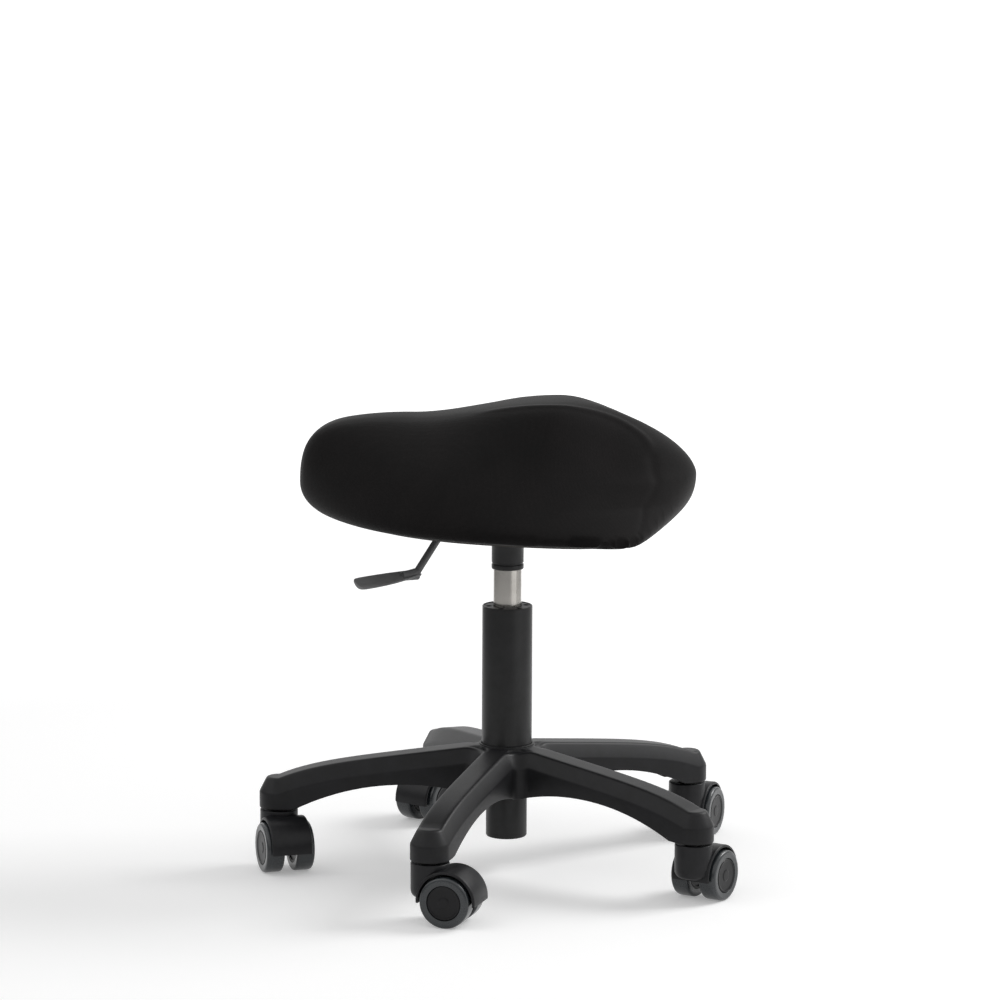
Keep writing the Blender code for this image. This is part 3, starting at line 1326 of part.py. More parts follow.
def saddle_aims(cube, start):
    """Directions for a cube grid's corners, with its rear upright edges on the saddle's creases."""
    spread = np.sin(cube * math.pi / 4.0) / math.sin(math.pi / 4.0)
    upward = spread[:, 2] * SADDLE_PEAK_HEIGHT / 2.0
    ring = np.maximum(np.abs(spread[:, 0]), np.abs(spread[:, 1])) * math.sqrt(2.0)

    def aim_at(turn, reach):
        behind = np.cos(turn)
        lengths = np.where(behind > 0.0, SADDLE_REAR_Y, -SADDLE_NOSE_Y)
        across = reach * np.sin(turn) * SADDLE_HALF_WIDTH
        aim = np.stack([across, reach * behind * lengths, upward], axis=1)
        return aim / np.maximum(np.linalg.norm(aim, axis=1), MERGE_DISTANCE)[:, None]

    near = np.full(len(cube), math.radians(CREASE_NEAR_TURN))
    far = np.full(len(cube), math.radians(CREASE_FAR_TURN))
    for _ in range(14):
        middle = (near + far) / 2.0
        aim = aim_at(middle, ring)
        reach = surface_distances(saddle_field, start, aim, SADDLE_SEARCH)
        behind = crease_field(start + aim * reach[:, None]) > 0.0
        near = np.where(behind, middle, near)
        far = np.where(behind, far, middle)
    corner = math.pi / 4.0
    crease = corner + (near - corner) * np.clip(ring / CREASE_START, 0.0, 1.0)
    turn = np.arctan2(np.abs(spread[:, 0]), spread[:, 1])
    beyond = math.pi - (math.pi - turn) * (math.pi - crease) / (math.pi - corner)
    turn = np.where(turn < corner, turn * crease / corner, beyond)
    reach = np.hypot(spread[:, 0], spread[:, 1])
    return aim_at(turn * np.where(spread[:, 0] < 0.0, -1.0, 1.0), reach)


def build_cushion():
    """The saddle cushion, one padded form with a recess for the board."""
    form = bmesh.new()
    bmesh.ops.create_cube(form, size=2.0)
    for axis, cells in enumerate(CUSHION_CELLS):
        rails = [
            edge
            for edge in form.edges
            if abs((edge.verts[0].co - edge.verts[1].co)[axis]) > MERGE_DISTANCE
        ]
        bmesh.ops.subdivide_edges(form, edges=rails, cuts=cells - 1, use_grid_fill=True)
    cube = np.array([corner.co[:] for corner in form.verts])
    start = np.array([0.0, 0.0, SEAT_BASE_Z + SADDLE_PEAK_HEIGHT / 3.0])
    aim = saddle_aims(cube, start)
    distances = surface_distances(saddle_field, start, aim, SADDLE_SEARCH)
    places = start + aim * distances[:, None]
    flat = places[:, 2] < SEAT_BASE_Z + SADDLE_FLAT_MARGIN
    places[:, 2] = np.where(flat, SEAT_BASE_Z, places[:, 2])
    for corner, spot in zip(form.verts, places):
        corner.co = spot
    bmesh.ops.triangulate(form, faces=form.faces, quad_method="SHORT_EDGE")
    cushion = mesh_object("cushion", form)
    place(cushion, CLOTH, parent=SEAT)
    recess = prism(
        "board_recess",
        board_outline(BOARD_INSET - FIT_GAP),
        SEAT_BASE_Z - CUT_MARGIN,
        SEAT_BASE_Z + BOARD_THICKNESS + FIT_GAP,
    )
    boolean(cushion, place(recess, parent=SEAT))


clear_scene()
PARTS = new_collection("ergonomic_stool")
CUTTERS = new_collection("cutters")
NYLON = new_material("black_nylon", BLACK_NYLON, 0.5)
COAT = new_material("black_coat", BLACK_COAT, 0.35)
TREAD = new_material("grey_tread", GREY_TREAD, 0.45)
STEEL = new_material("bare_steel", BARE_STEEL, 0.25, 1.0)
CLOTH = new_material("black_cloth", BLACK_CLOTH, 0.9)
PLYWOOD = new_material("birch_ply", BIRCH_PLY, 0.7)
RUBBER = new_material("black_rubber", RUBBER_BLACK, 0.8)
STAND = new_empty("stand")
SPINDLE = new_empty("spindle", parent=STAND)
SEAT = new_empty("seat", heading=NOSE_HEADING + 90.0, parent=SPINDLE)
LEVER_LINE = new_empty("lever_line", heading=LEVER_FROM_NOSE - 90.0, parent=SEAT)
LEVER_PIVOT = new_empty("lever_pivot", (LEVER_PIVOT_RADIUS, 0.0, LEVER_Z), parent=LEVER_LINE)
BOLT_PLACES = [
    (across * BOLT_SPACING_WIDTH / 2.0, along * BOLT_SPACING_LENGTH / 2.0)
    for across in (-1.0, 1.0)
    for along in (-1.0, 1.0)
]
build_base()
build_column()
build_thrust_bearing()
build_gas_spring()
build_seat_plate()
build_lever()
for castor in range(ARM_COUNT):
    build_castor(castor)
build_board()
build_cushion()
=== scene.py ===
import logging
import math
from dataclasses import dataclass, field
from enum import Enum
from typing import Callable, Optional, Sequence

import bmesh
import bpy
import numpy as np
from mathutils import Matrix, Vector

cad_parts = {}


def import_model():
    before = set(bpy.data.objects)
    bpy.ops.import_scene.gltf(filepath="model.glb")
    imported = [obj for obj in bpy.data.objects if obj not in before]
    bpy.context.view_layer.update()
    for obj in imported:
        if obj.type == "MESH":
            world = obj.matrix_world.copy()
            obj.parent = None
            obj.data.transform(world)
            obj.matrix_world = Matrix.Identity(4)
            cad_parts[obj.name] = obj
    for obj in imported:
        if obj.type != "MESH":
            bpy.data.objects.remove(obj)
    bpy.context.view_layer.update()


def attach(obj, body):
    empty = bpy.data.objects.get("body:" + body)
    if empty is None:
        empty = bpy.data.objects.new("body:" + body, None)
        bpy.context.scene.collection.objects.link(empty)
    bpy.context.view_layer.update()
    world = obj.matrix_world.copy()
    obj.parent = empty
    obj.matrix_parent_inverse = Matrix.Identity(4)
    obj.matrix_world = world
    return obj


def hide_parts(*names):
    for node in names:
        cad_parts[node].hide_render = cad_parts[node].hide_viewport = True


Array = np.ndarray
Form = bmesh.types.BMesh
Object = bpy.types.Object
Socket = bpy.types.NodeSocket
Tree = bpy.types.NodeTree

LOG = logging.getLogger("stool")
MM = 0.001
WELD = 1e-6
FIT = 0.0003
BOLT_ACROSS = 0.060
BOLT_ALONG = 0.080
BOLT_HOLE_RADIUS = 0.0033
PIVOT_HOLE_RADIUS = 0.00205
CASTOR_HEADINGS = (8.8, 62.0, 139.0, 147.3, 312.7)
NOSE_HEADING = 251.1
LEVER_AHEAD = 41.6


def linear(code: str) -> tuple[float, float, float, float]:
    """Turn an sRGB hex colour to linear.

    Args:
        code: Six hex digits.

    Returns:
        Red, green, blue and alpha.
    """
    channels = [int(code[at : at + 2], 16) / 255.0 for at in (0, 2, 4)]
    curve = [c / 12.92 if c <= 0.04045 else ((c + 0.055) / 1.055) ** 2.4 for c in channels]
    return (*curve, 1.0)


def add(tree: Tree, kind: str, inputs: Optional[dict] = None, **settings) -> bpy.types.Node:
    """Add a node with its settings and links.

    Args:
        tree: The node tree.
        kind: The node's type name.
        inputs: Socket name or number to a value, or to the output that feeds it.
        settings: Attributes of the node.

    Returns:
        The new node.
    """
    made = tree.nodes.new(kind)
    for name, value in settings.items():
        setattr(made, name, value)
    for socket, value in (inputs or {}).items():
        if isinstance(value, Socket):
            tree.links.new(value, made.inputs[socket])
        else:
            made.inputs[socket].default_value = value
    return made


def noise(tree: Tree, place: Socket, size: float, detail: float, roughness: float) -> Socket:
    """Noise whose patches have a size in millimetres."""
    inputs = {"Vector": place, "Scale": 1000.0 / size, "Detail": detail, "Roughness": roughness}
    return add(tree, "ShaderNodeTexNoise", inputs).outputs["Fac"]


def worked(tree: Tree, operation: str, first: Socket, second: Socket) -> Socket:
    """The result of a sum on two values."""
    return add(tree, "ShaderNodeMath", {0: first, 1: second}, operation=operation).outputs[0]


def new_material(name: str) -> tuple[bpy.types.Material, bpy.types.Node]:
    """A new material and its shader."""
    made = bpy.data.materials.new(name)
    made.use_nodes = True
    return made, made.node_tree.nodes["Principled BSDF"]


def set_inputs(shader: bpy.types.Node, values: dict) -> None:
    """Set constants on a shader's own sockets."""
    for socket, value in values.items():
        shader.inputs[socket].default_value = value


def ramp(tree: Tree, factor: Socket, stops: Sequence[tuple]) -> Socket:
    """Add a colour ramp.

    Args:
        tree: The node tree.
        factor: What the ramp reads.
        stops: Places and linear colours.

    Returns:
        The ramp's colour.
    """
    made = add(tree, "ShaderNodeValToRGB", {"Fac": factor})
    elements = made.color_ramp.elements
    while len(elements) < len(stops):
        elements.new(0.5)
    for element, (place, colour) in zip(elements, stops):
        element.position = place
        element.color = colour
    return made.outputs["Color"]


@dataclass(frozen=True)
class Finish:
    """One finish with two near shades, a surface grain and a fine unevenness of gloss.

    The grain is drawn at its real size in millimetres, and its depth is the bump's height.
    """

    name: str
    dark: str
    light: str
    roughness: float
    spread: float = 0.06
    metallic: float = 0.0
    grain: float = 0.4
    depth: float = 0.02
    patch: float = 18.0
    coat: float = 0.0
    coat_roughness: float = 0.2
    sheen: float = 0.0
    sheen_roughness: float = 0.5
    specular: float = 0.5
    anisotropic: float = 0.0
    stretch: tuple[float, float, float] = (1.0, 1.0, 1.0)

    def material(self) -> bpy.types.Material:
        """Build the material, or give the one already made."""
        known = bpy.data.materials.get(self.name)
        if known:
            return known
        made, shader = new_material(self.name)
        tree = made.node_tree
        place = add(tree, "ShaderNodeTexCoord").outputs["Object"]
        spread = add(tree, "ShaderNodeMapping", {"Vector": place, "Scale": self.stretch}).outputs[0]
        patches = noise(tree, place, self.patch, 3.0, 0.6)
        grain = self.grain_height(tree, spread)
        colour = ramp(tree, patches, [(0.3, linear(self.dark)), (0.7, linear(self.light))])
        ends = {"To Min": self.roughness - self.spread, "To Max": self.roughness + self.spread}
        gloss = add(tree, "ShaderNodeMapRange", {"Value": grain, **ends}).outputs["Result"]
        relief = {"Strength": 1.0, "Distance": self.depth * MM, "Height": grain}
        bump = add(tree, "ShaderNodeBump", relief).outputs["Normal"]
        tree.links.new(self.painted_grain_shade(tree, colour, grain), shader.inputs["Base Color"])
        tree.links.new(gloss, shader.inputs["Roughness"])
        tree.links.new(bump, shader.inputs["Normal"])
        constants = {
            "Metallic": self.metallic,
            "Coat Weight": self.coat,
            "Coat Roughness": self.coat_roughness,
            "Sheen Weight": self.sheen,
            "Sheen Roughness": self.sheen_roughness,
            "Specular IOR Level": self.specular,
            "Anisotropic": self.anisotropic,
        }
        set_inputs(shader, constants)
        return made

    def grain_height(self, tree: Tree, place: Socket) -> Socket:
        """The fine grain of a moulded or sprayed surface.

        Args:
            tree: The node tree.
            place: Object coordinates.

        Returns:
            Heights from 0 to 1.
        """
        return noise(tree, place, self.grain, 2.0, 0.5)

    def painted_grain_shade(self, tree: Tree, colour: Socket, grain: Socket) -> Socket:
        """The colour with shade painted in from the grain's height; a plain finish leaves it alone."""
        return colour


@dataclass(frozen=True)
class WovenFinish(Finish):
    """Upholstery cloth: a close plain weave whose threads catch light at grazing angles, with shade painted
    between them.

    The real threads lie about 0.5 mm apart; they are drawn at 1.4 mm, so that they show.
    """

    thread: float = 1.4

    def grain_height(self, tree: Tree, place: Socket) -> Socket:
        """Threads over and under each other, on the three planes that the cloth turns through."""
        turned = add(tree, "ShaderNodeMapping", {"Vector": place, "Rotation": (0.6, 0.5, 0.8)}).outputs[0]
        weave = {"Vector": turned, "Scale": 1000.0 / self.thread, "Randomness": 0.25}
        knots = add(tree, "ShaderNodeTexVoronoi", weave).outputs["Distance"]
        yarn = {"Vector": place, "Scale": 260.0, "Detail": 4.0}
        slubs = add(tree, "ShaderNodeTexNoise", yarn).outputs["Fac"]
        return worked(tree, "MULTIPLY", knots, slubs)

    def painted_grain_shade(self, tree: Tree, colour: Socket, grain: Socket) -> Socket:
        """Painted shade: threads that lie low are painted darker, as the shade between threads, and those
        that stand up a little lighter.
        """
        # Painted shade in the weave's hollows, from 0.62 on low threads up to a slight painted lift of 1.15
        # on raised ones.
        shade = ramp(tree, grain, [(0.05, (0.62, 0.62, 0.62, 1.0)), (0.5, (1.15, 1.15, 1.15, 1.0))])
        mixed = {"Factor": 1.0, "A": colour, "B": shade}
        return add(tree, "ShaderNodeMix", mixed, data_type="RGBA", blend_type="MULTIPLY").outputs[2]


@dataclass(frozen=True)
class WoodFinish(Finish):
    """Rotary-cut birch plywood: long soft grain with darker late wood."""

    def grain_height(self, tree: Tree, place: Socket) -> Socket:
        """Growth rings drawn out along the board."""
        return add(
            tree,
            "ShaderNodeTexWave",
            {"Vector": place, "Scale": 45.0, "Distortion": 9.0, "Detail": 3.0, "Detail Scale": 1.6},
            bands_direction="X",
        ).outputs["Fac"]


class Finishes(Enum):
    """The stool's finishes, named for what they are made of and how."""

    # Glass-filled nylon as it leaves a sparked mould: near-black, and dull until light grazes it.
    BASE_NYLON = Finish(
        "moulded_nylon_base", "171718", "1e1e20", 0.42, specular=0.22, grain=0.7, depth=0.05
    )
    # The same nylon from a smoother mould, so its highlights are a little tighter.
    CASTOR_NYLON = Finish(
        "moulded_nylon_castor", "18181a", "202022", 0.36, specular=0.24, grain=0.6, depth=0.03
    )
    # Smooth moulded nylon, the darkest of the three.
    WHEEL_NYLON = Finish(
        "moulded_nylon_wheel", "131314", "1a1a1c", 0.34, specular=0.22, grain=0.5, depth=0.02
    )
    # Cast polyurethane: cool grey with a soft wet-looking edge of light.
    TREAD = Finish(
        "moulded_polyurethane_tread",
        "23272a",
        "2c3033",
        0.28,
        grain=0.5,
        depth=0.012,
        specular=0.45,
        coat=0.3,
    )
    # Moulded acetal: waxy and even, without a hard shine.
    BUSH = Finish("moulded_acetal_bush", "1d1d1e", "252526", 0.45, specular=0.3, grain=0.5, depth=0.03)
    # Grey plastic from a finely etched mould: satin, with broad soft highlights.
    LEVER = Finish("moulded_lever_plastic", "6e6e6f", "7a7a7b", 0.42, specular=0.4, grain=0.5, depth=0.02)
    # Baked powder on steel: satin, with the faint orange peel of fused grains.
    POWDER_COAT = Finish(
        "powder_coated_steel", "1f1f1f", "262627", 0.38, specular=0.24, grain=1.1, depth=0.06, coat=0.06
    )
    # A thin grey coat over bent rod: clearly paler and tighter than the powder on the plate.
    SATIN_COAT = Finish("satin_coated_rod", "4e4e4f", "5a5a5b", 0.34, specular=0.45, grain=0.6, depth=0.02)
    # Centreless-ground steel: its fine lines run round it and draw light into upright streaks.
    GROUND_STEEL = Finish(
        "ground_steel",
        "a9a6a1",
        "b5b2ad",
        0.24,
        metallic=1.0,
        grain=0.35,
        depth=0.01,
        stretch=(0.12, 0.12, 1.0),
    )
    # Zinc plate over turned steel: greyer and softer than the ground rod.
    ZINC_STEEL = Finish("zinc_plated_steel", "8a8985", "9d9c98", 0.36, metallic=1.0, grain=0.5, depth=0.015)
    # Moulded rubber, which hardly shines at all.
    BUMP_RUBBER = Finish("moulded_rubber", "161616", "1e1e1e", 0.75, specular=0.3, grain=0.5, depth=0.04)
    # Rotary-cut birch under a black stain: matt, with its long soft figure only just showing.
    PLYWOOD = WoodFinish("stained_plywood", "26231f", "332e28", 0.66, grain=1.0, depth=0.03, patch=30.0)
    # Black woven upholstery: deep and matt head on, with a grey bloom where it turns away.
    CLOTH = WovenFinish(
        "woven_upholstery_cloth",
        "121111",
        "191717",
        0.85,
        spread=0.08,
        depth=0.22,
        patch=60.0,
        sheen=0.14,
        sheen_roughness=0.4,
        specular=0.08,
    )


def linked(name: str, data: bpy.types.ID) -> Object:
    """A new object in the scene that holds some data."""
    made = bpy.data.objects.new(name, data)
    bpy.context.scene.collection.objects.link(made)
    return made


def about_z(degrees: float) -> Matrix:
    """A turn about Z."""
    return Matrix.Rotation(math.radians(degrees), 4, "Z")


def bolt_places() -> list[Matrix]:
    """Where the four bolts stand in the seat's own frame."""
    return [Matrix.Translation((x * BOLT_ACROSS, y * BOLT_ALONG, 0.0)) for x in (-1, 1) for y in (-1, 1)]


def as_object(form: Form, name: str, weld: float = WELD) -> Object:
    """Close a form's doubles, turn its faces outwards and make it an object.

    Args:
        form: The form, which is freed.
        name: The object's name.
        weld: Distance under which corners join.

    Returns:
        The object, in the scene.
    """
    bmesh.ops.remove_doubles(form, verts=form.verts, dist=weld)
    bmesh.ops.recalc_face_normals(form, faces=form.faces)
    mesh = bpy.data.meshes.new(name)
    form.to_mesh(mesh)
    form.free()
    return linked(name, mesh)


def baked(made: Object) -> None:
    """Apply an object's modifiers, so that its mesh holds its final shape."""
    graph = bpy.context.evaluated_depsgraph_get()
    graph.update()
    mesh = bpy.data.meshes.new_from_object(made.evaluated_get(graph))
    made.modifiers.clear()
    old = made.data
    made.data = mesh
    bpy.data.meshes.remove(old)


def combined(made: Object, *tools: tuple[Form, str]) -> None:
    """Join or cut an object with tools in order, and bake the result.

    Args:
        made: The object that is changed.
        tools: Each tool's form, which is freed, with its operation.
    """
    used = [(as_object(form, "tool"), operation) for form, operation in tools]
    for tool, operation in used:
        step = made.modifiers.new(tool.name, "BOOLEAN")
        step.operation = operation
        step.solver = "EXACT"
        step.object = tool
    baked(made)
    for tool, _ in used:
        bpy.data.objects.remove(tool, do_unlink=True)


def finish_piece(
    made: Object,
    finish: Finishes,
    body: str,
    slot: str,
    replaced: Sequence[str],
    matrix: Optional[Matrix] = None,
    edge: float = 0.0,
    sharp: float = 32.0,
) -> None:
    """Give a piece its place, rounded edges, finish and body.

    Args:
        made: The piece.
        finish: Its finish.
        body: The body it rides on.
        slot: A material slot's name; not used.
        replaced: The nodes it stands for.
        matrix: Where the piece goes, applied to its mesh.
        edge: Width of the rounding on its sharp edges, in metres.
        sharp: Angle in degrees past which an edge stays sharp.
    """
    if matrix is not None:
        made.data.transform(matrix)
    if edge > 0.0:
        step = made.modifiers.new("Edge", "BEVEL")
        step.width = edge
        step.segments = 2
        step.limit_method = "ANGLE"
        step.angle_limit = math.radians(35.0)
        step.use_clamp_overlap = True
        baked(made)
    made.data.shade_smooth()
    made.data.set_sharp_from_angle(angle=math.radians(sharp))
    made.data.materials.clear()
    made.data.materials.append(finish.value.material())
    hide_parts(*replaced)
    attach(made, body)
    LOG.info("%s rides on %s with %d faces", made.name, body, len(made.data.polygons))


def rounded(outline: Sequence[tuple], closed: bool, steps: int = 4) -> list[tuple[float, float]]:
    """Round the corners of a flat outline.

    Args:
        outline: Points of (u, v) or (u, v, radius).
        closed: True if the last point runs on to the first.
        steps: Segments in each rounded corner.

    Returns:
        The points of the rounded outline.
    """
    result = []
    count = len(outline)
    for at, corner in enumerate(outline):
        here = Vector(corner[:2])
        radius = corner[2] if len(corner) > 2 else 0.0
        ends = at in (0, count - 1) and not closed
        if radius <= 0.0 or ends:
            result.append(tuple(here))
            continue
        before = Vector(outline[at - 1][:2]) - here
        after = Vector(outline[(at + 1) % count][:2]) - here
        half = before.angle(after) / 2.0
        back = min(radius / math.tan(half), before.length * 0.49, after.length * 0.49)
        start = here + before.normalized() * back
        stop = here + after.normalized() * back
        for step in range(steps + 1):
            t = step / steps
            result.append(tuple((1 - t) ** 2 * start + 2 * t * (1 - t) * here + t * t * stop))
    return result


def turned(
    outline: Sequence[tuple], steps: int = 48, closed: bool = False, corner: int = 4
) -> Form:
    """Spin an outline of (radius, height, rounding) about Z.

    Args:
        outline: The outline's points, down the outer side.
        steps: Segments round the axis.
        closed: True for an outline that doesn't touch the axis.
        corner: Segments in each rounded corner.

    Returns:
        The turned form.
    """
    form = bmesh.new()
    points = rounded(outline, closed, corner)
    corners = [form.verts.new((radius, 0.0, height)) for radius, height in points]
    edges = [form.edges.new(pair) for pair in zip(corners, corners[1:])]
    if closed:
        edges.append(form.edges.new((corners[-1], corners[0])))
    bmesh.ops.spin(
        form,
        geom=corners + edges,
        cent=(0.0, 0.0, 0.0),
        axis=(0.0, 0.0, 1.0),
        angle=2.0 * math.pi,
        steps=steps,
        use_merge=True,
    )
    return form


def drum(radius: float, foot: float, top: float, steps: int = 32) -> Form:
    """A plain round form about Z, as a cutter."""
    form = bmesh.new()
    bmesh.ops.create_cone(
        form, cap_ends=True, segments=steps, radius1=radius, radius2=radius, depth=top - foot
    )
    bmesh.ops.translate(form, verts=form.verts, vec=(0.0, 0.0, (foot + top) / 2.0))
    return form


def block(low: Sequence[float], high: Sequence[float], edge: float = 0.0) -> Form:
    """A box between two corners, with its edges rounded by a width."""
    form = bmesh.new()
    bmesh.ops.create_cube(form, size=1.0)
    size = Vector(high) - Vector(low)
    bmesh.ops.scale(form, verts=form.verts, vec=size)
    bmesh.ops.translate(form, verts=form.verts, vec=(Vector(low) + Vector(high)) / 2.0)
    if edge > 0.0:
        bmesh.ops.bevel(
            form, geom=form.edges[:], offset=edge, affect="EDGES", segments=3, profile=0.5, material=-1
        )
    return form


def moved(form: Form, matrix: Matrix) -> Form:
    """The form after a matrix is applied to it."""
    bmesh.ops.transform(form, verts=form.verts, matrix=matrix)
    return form


def merged(*forms: Form) -> Form:
    """One form of several that lie clear of each other."""
    whole = bmesh.new()
    for form in forms:
        mesh = bpy.data.meshes.new("part")
        form.to_mesh(mesh)
        form.free()
        whole.from_mesh(mesh)
        bpy.data.meshes.remove(mesh)
    return whole


def lofted(rings: Sequence[Sequence[Sequence[float]]], capped: bool = True) -> Form:
    """A form through closed rings of equally many points, bridged one by one.

    Args:
        rings: The rings' points.
        capped: True to close both ends.

    Returns:
        The form.
    """
    form = bmesh.new()
    loops = []
    for ring in rings:
        corners = [form.verts.new(point) for point in ring]
        loops.append([form.edges.new((a, b)) for a, b in zip(corners, corners[1:] + corners[:1])])
    for lower, upper in zip(loops, loops[1:]):
        bmesh.ops.bridge_loops(form, edges=lower + upper)
    if capped:
        bmesh.ops.holes_fill(form, edges=loops[0] + loops[-1], sides=0)
    return form


@dataclass
class StarBase:
    """The moulded base: a hub with a lip ring and arms that fall and thin towards the castors."""

    arms: int = 5
    first: float = 260.0
    reach: float = 0.228
    half_width: float = 0.0195
    half_flat: float = 0.012
    bevel_down: float = 0.015
    fillet: float = 0.0115
    root_z: float = 0.1269
    end_z: float = 0.092
    valley_drop: float = 0.0035
    crown_z: float = 0.088
    crown_reach: float = 0.100
    crown_sag: float = 0.0085
    foot_z: float = 0.0612
    hub_foot_z: float = 0.079
    hub_radius: float = 0.037
    lip_radius: float = 0.0275
    lip_height: float = 0.0018
    bore: float = 0.0253
    neck_bore: float = 0.0208
    swage_z: float = 0.108
    neck_z: float = 0.086
    wall: float = 0.003
    stations: int = 22
    columns: int = 3
    valley_steps: int = 6
    tip_steps: int = 12
    fall_start: float = 0.030
    even_fall: float = 0.72
    late_fall: float = 0.28
    foot_reach: float = 0.213
    foot_power: float = 2.1
    pockets: int = 3
    pocket_end: float = 0.2175
    rib: float = 0.0025
    socket_radius: float = 0.0058
    socket_top: float = 0.083

    def heading(self, index: int) -> float:
        """The heading of an arm in radians."""
        return math.radians(self.first + index * 360.0 / self.arms)

    def top(self, reach: float) -> float:
        """Height of an arm's flat top at a distance from the column."""
        along = min(max((reach - self.fall_start) / (self.reach - self.fall_start), -0.1), 1.0)
        fall = self.even_fall * along + self.late_fall * max(along, 0.0) ** 6
        return self.root_z - (self.root_z - self.end_z) * fall

    def foot(self, reach: float) -> float:
        """Height of an arm's lower edge at a distance from the column."""
        if reach < self.hub_radius:
            return self.hub_foot_z
        if reach < self.crown_reach:
            back = (self.crown_reach - reach) / (self.crown_reach - self.hub_radius)
            return self.crown_z - self.crown_sag * back**2
        ahead = min((reach - self.crown_reach) / (self.foot_reach - self.crown_reach), 1.0)
        return self.crown_z - (self.crown_z - self.foot_z) * ahead**self.foot_power

    def section(self) -> list[tuple[float, float]]:
        """The side's levels from the foot up, as an inset and a share of foot, shoulder and top.

        Returns:
            Insets with heights, where 0 is the foot, 1 the shoulder and 2 the top.
        """
        out = self.half_width - self.half_flat
        corners = [(0.0012, 0.0), (0.0, 0.0, 0.0012), (0.0, 1.0, 0.0052)]
        corners += [(out, 2.0, 0.0042), (out + 0.0055, 2.0)]
        plain = [(c[0], c[1] * self.bevel_down, *c[2:]) for c in corners]
        return [(u, v / self.bevel_down) for u, v in rounded(plain, False, 4)]

    def outline(self) -> list[tuple]:
        """One half of an arm's outline, from the valley beside it to the tip's end.

        Returns:
            For each point a function of the inset that gives the place, its reach and its share of valley.
        """
        bisector = math.pi / self.arms
        apart = (self.half_width + self.fillet) / math.sin(bisector)
        centre = Vector((apart * math.cos(bisector), apart * math.sin(bisector)))
        rows = []
        for at in range(self.valley_steps + 1):
            t = at / self.valley_steps
            turn = bisector + math.pi + (math.pi / 2.0 - bisector) * t
            aim = Vector((math.cos(turn), math.sin(turn)))
            valley = (1.0 - t) ** 2 * (1.0 + 2.0 * t)
            rows.append((centre, aim, self.fillet, 1.0, valley))
        start = centre.x
        for at in range(1, self.stations + 1):
            reach = start + (self.reach - start) * at / self.stations
            rows.append((Vector((reach, 0.0)), Vector((0.0, 1.0)), self.half_width, -1.0, 0.0))
        for at in range(1, self.tip_steps + 1):
            turn = math.pi / 2.0 * (1.0 - at / self.tip_steps)
            aim = Vector((math.cos(turn), math.sin(turn)))
            rows.append((Vector((self.reach, 0.0)), aim, self.half_width, -1.0, 0.0))
        return rows

    def point(self, row: tuple, inset: float, share: float, side: float) -> Vector:
        """A point of the arm's skin.

        Args:
            row: One row of the outline.
            inset: How far in from the outline it lies.
            share: 0 at the foot, 1 at the shoulder and 2 at the top.
            side: 1 for the left half and -1 for the right.

        Returns:
            The point, with the arm along +X.
        """
        centre, aim, radius, sign, valley = row
        place = centre + aim * (radius + sign * inset)
        top = self.top(place.x) - self.valley_drop * valley
        shoulder = top - self.bevel_down
        low = self.foot(place.x)
        height = shoulder + (top - shoulder) * (share - 1.0)
        if share < 1.0:
            height = low + (shoulder - low) * share
        return Vector((place.x, side * place.y, height))

    def cap(
        self, form: Form, rows: list[tuple], inset: float, share: float, ring: float, ring_z: float
    ) -> None:
        """Close the top or the bottom between the two halves of an arm, and in to a ring at the hub.

        Args:
            form: The form that takes the faces.
            rows: The outline's rows.
            inset: The last level's inset.
            share: The last level's share of the height.
            ring: Radius of the ring at the hub.
            ring_z: Height of that ring.
        """
        near = self.valley_steps
        far = near + self.stations
        wide = self.point(rows[near], inset, share, 1.0)
        spread = math.atan2(wide.y, wide.x)

        def on_ring(angle: float) -> Vector:
            return Vector((ring * math.cos(angle), ring * math.sin(angle), ring_z))

        def quad(*points: Vector) -> None:
            form.faces.new([form.verts.new(point) for point in points])

        bisector = math.pi / self.arms
        for side in (-1.0, 1.0):
            for at in range(near):
                angles = [bisector + (spread - bisector) * k / near for k in (at, at + 1)]
                quad(
                    self.point(rows[at], inset, share, side),
                    self.point(rows[at + 1], inset, share, side),
                    on_ring(side * angles[1]),
                    on_ring(side * angles[0]),
                )
        shares = [k / self.columns for k in range(-self.columns, self.columns + 1)]

        def across(at: int, k: float) -> Vector:
            edge = self.point(rows[at], inset, share, 1.0)
            return Vector((edge.x, edge.y * k, edge.z))

        for here, beside in zip(shares, shares[1:]):
            quad(across(near, here), across(near, beside), on_ring(spread * beside), on_ring(spread * here))
            for at in range(near, far):
                quad(across(at, here), across(at, beside), across(at + 1, beside), across(at + 1, here))
        stem = Vector((self.reach, 0.0, self.point(rows[far], inset, share, 1.0).z))
        for side in (-1.0, 1.0):
            for at in range(far, len(rows) - 1):
                edge = [self.point(rows[k], inset, share, side) for k in (at, at + 1)]
                for level in range(self.columns):
                    inner, outer = level / self.columns, (level + 1) / self.columns
                    corners = [
                        stem.lerp(edge[0], inner),
                        stem.lerp(edge[0], outer),
                        stem.lerp(edge[1], outer),
                        stem.lerp(edge[1], inner),
                    ]
                    if level == 0:
                        corners = corners[1:] if corners[0] == corners[3] else corners
                    quad(*corners)

    def wedge(self) -> Form:
        """One arm with its share of the hub, open where it joins its neighbours."""
        form = bmesh.new()
        rows = self.outline()
        levels = self.section()
        for side in (-1.0, 1.0):
            grid = [
                [form.verts.new(self.point(row, inset, share, side)) for inset, share in levels]
                for row in rows
            ]
            for here, beside in zip(grid, grid[1:]):
                for at in range(len(levels) - 1):
                    form.faces.new((here[at], beside[at], beside[at + 1], here[at + 1]))
        inset, share = levels[-1]
        self.cap(form, rows, inset, share, self.lip_radius + 0.0006, self.root_z - 0.0002)
        inset, share = levels[0]
        self.cap(form, rows, inset, share, self.neck_bore, self.hub_foot_z)
        return form

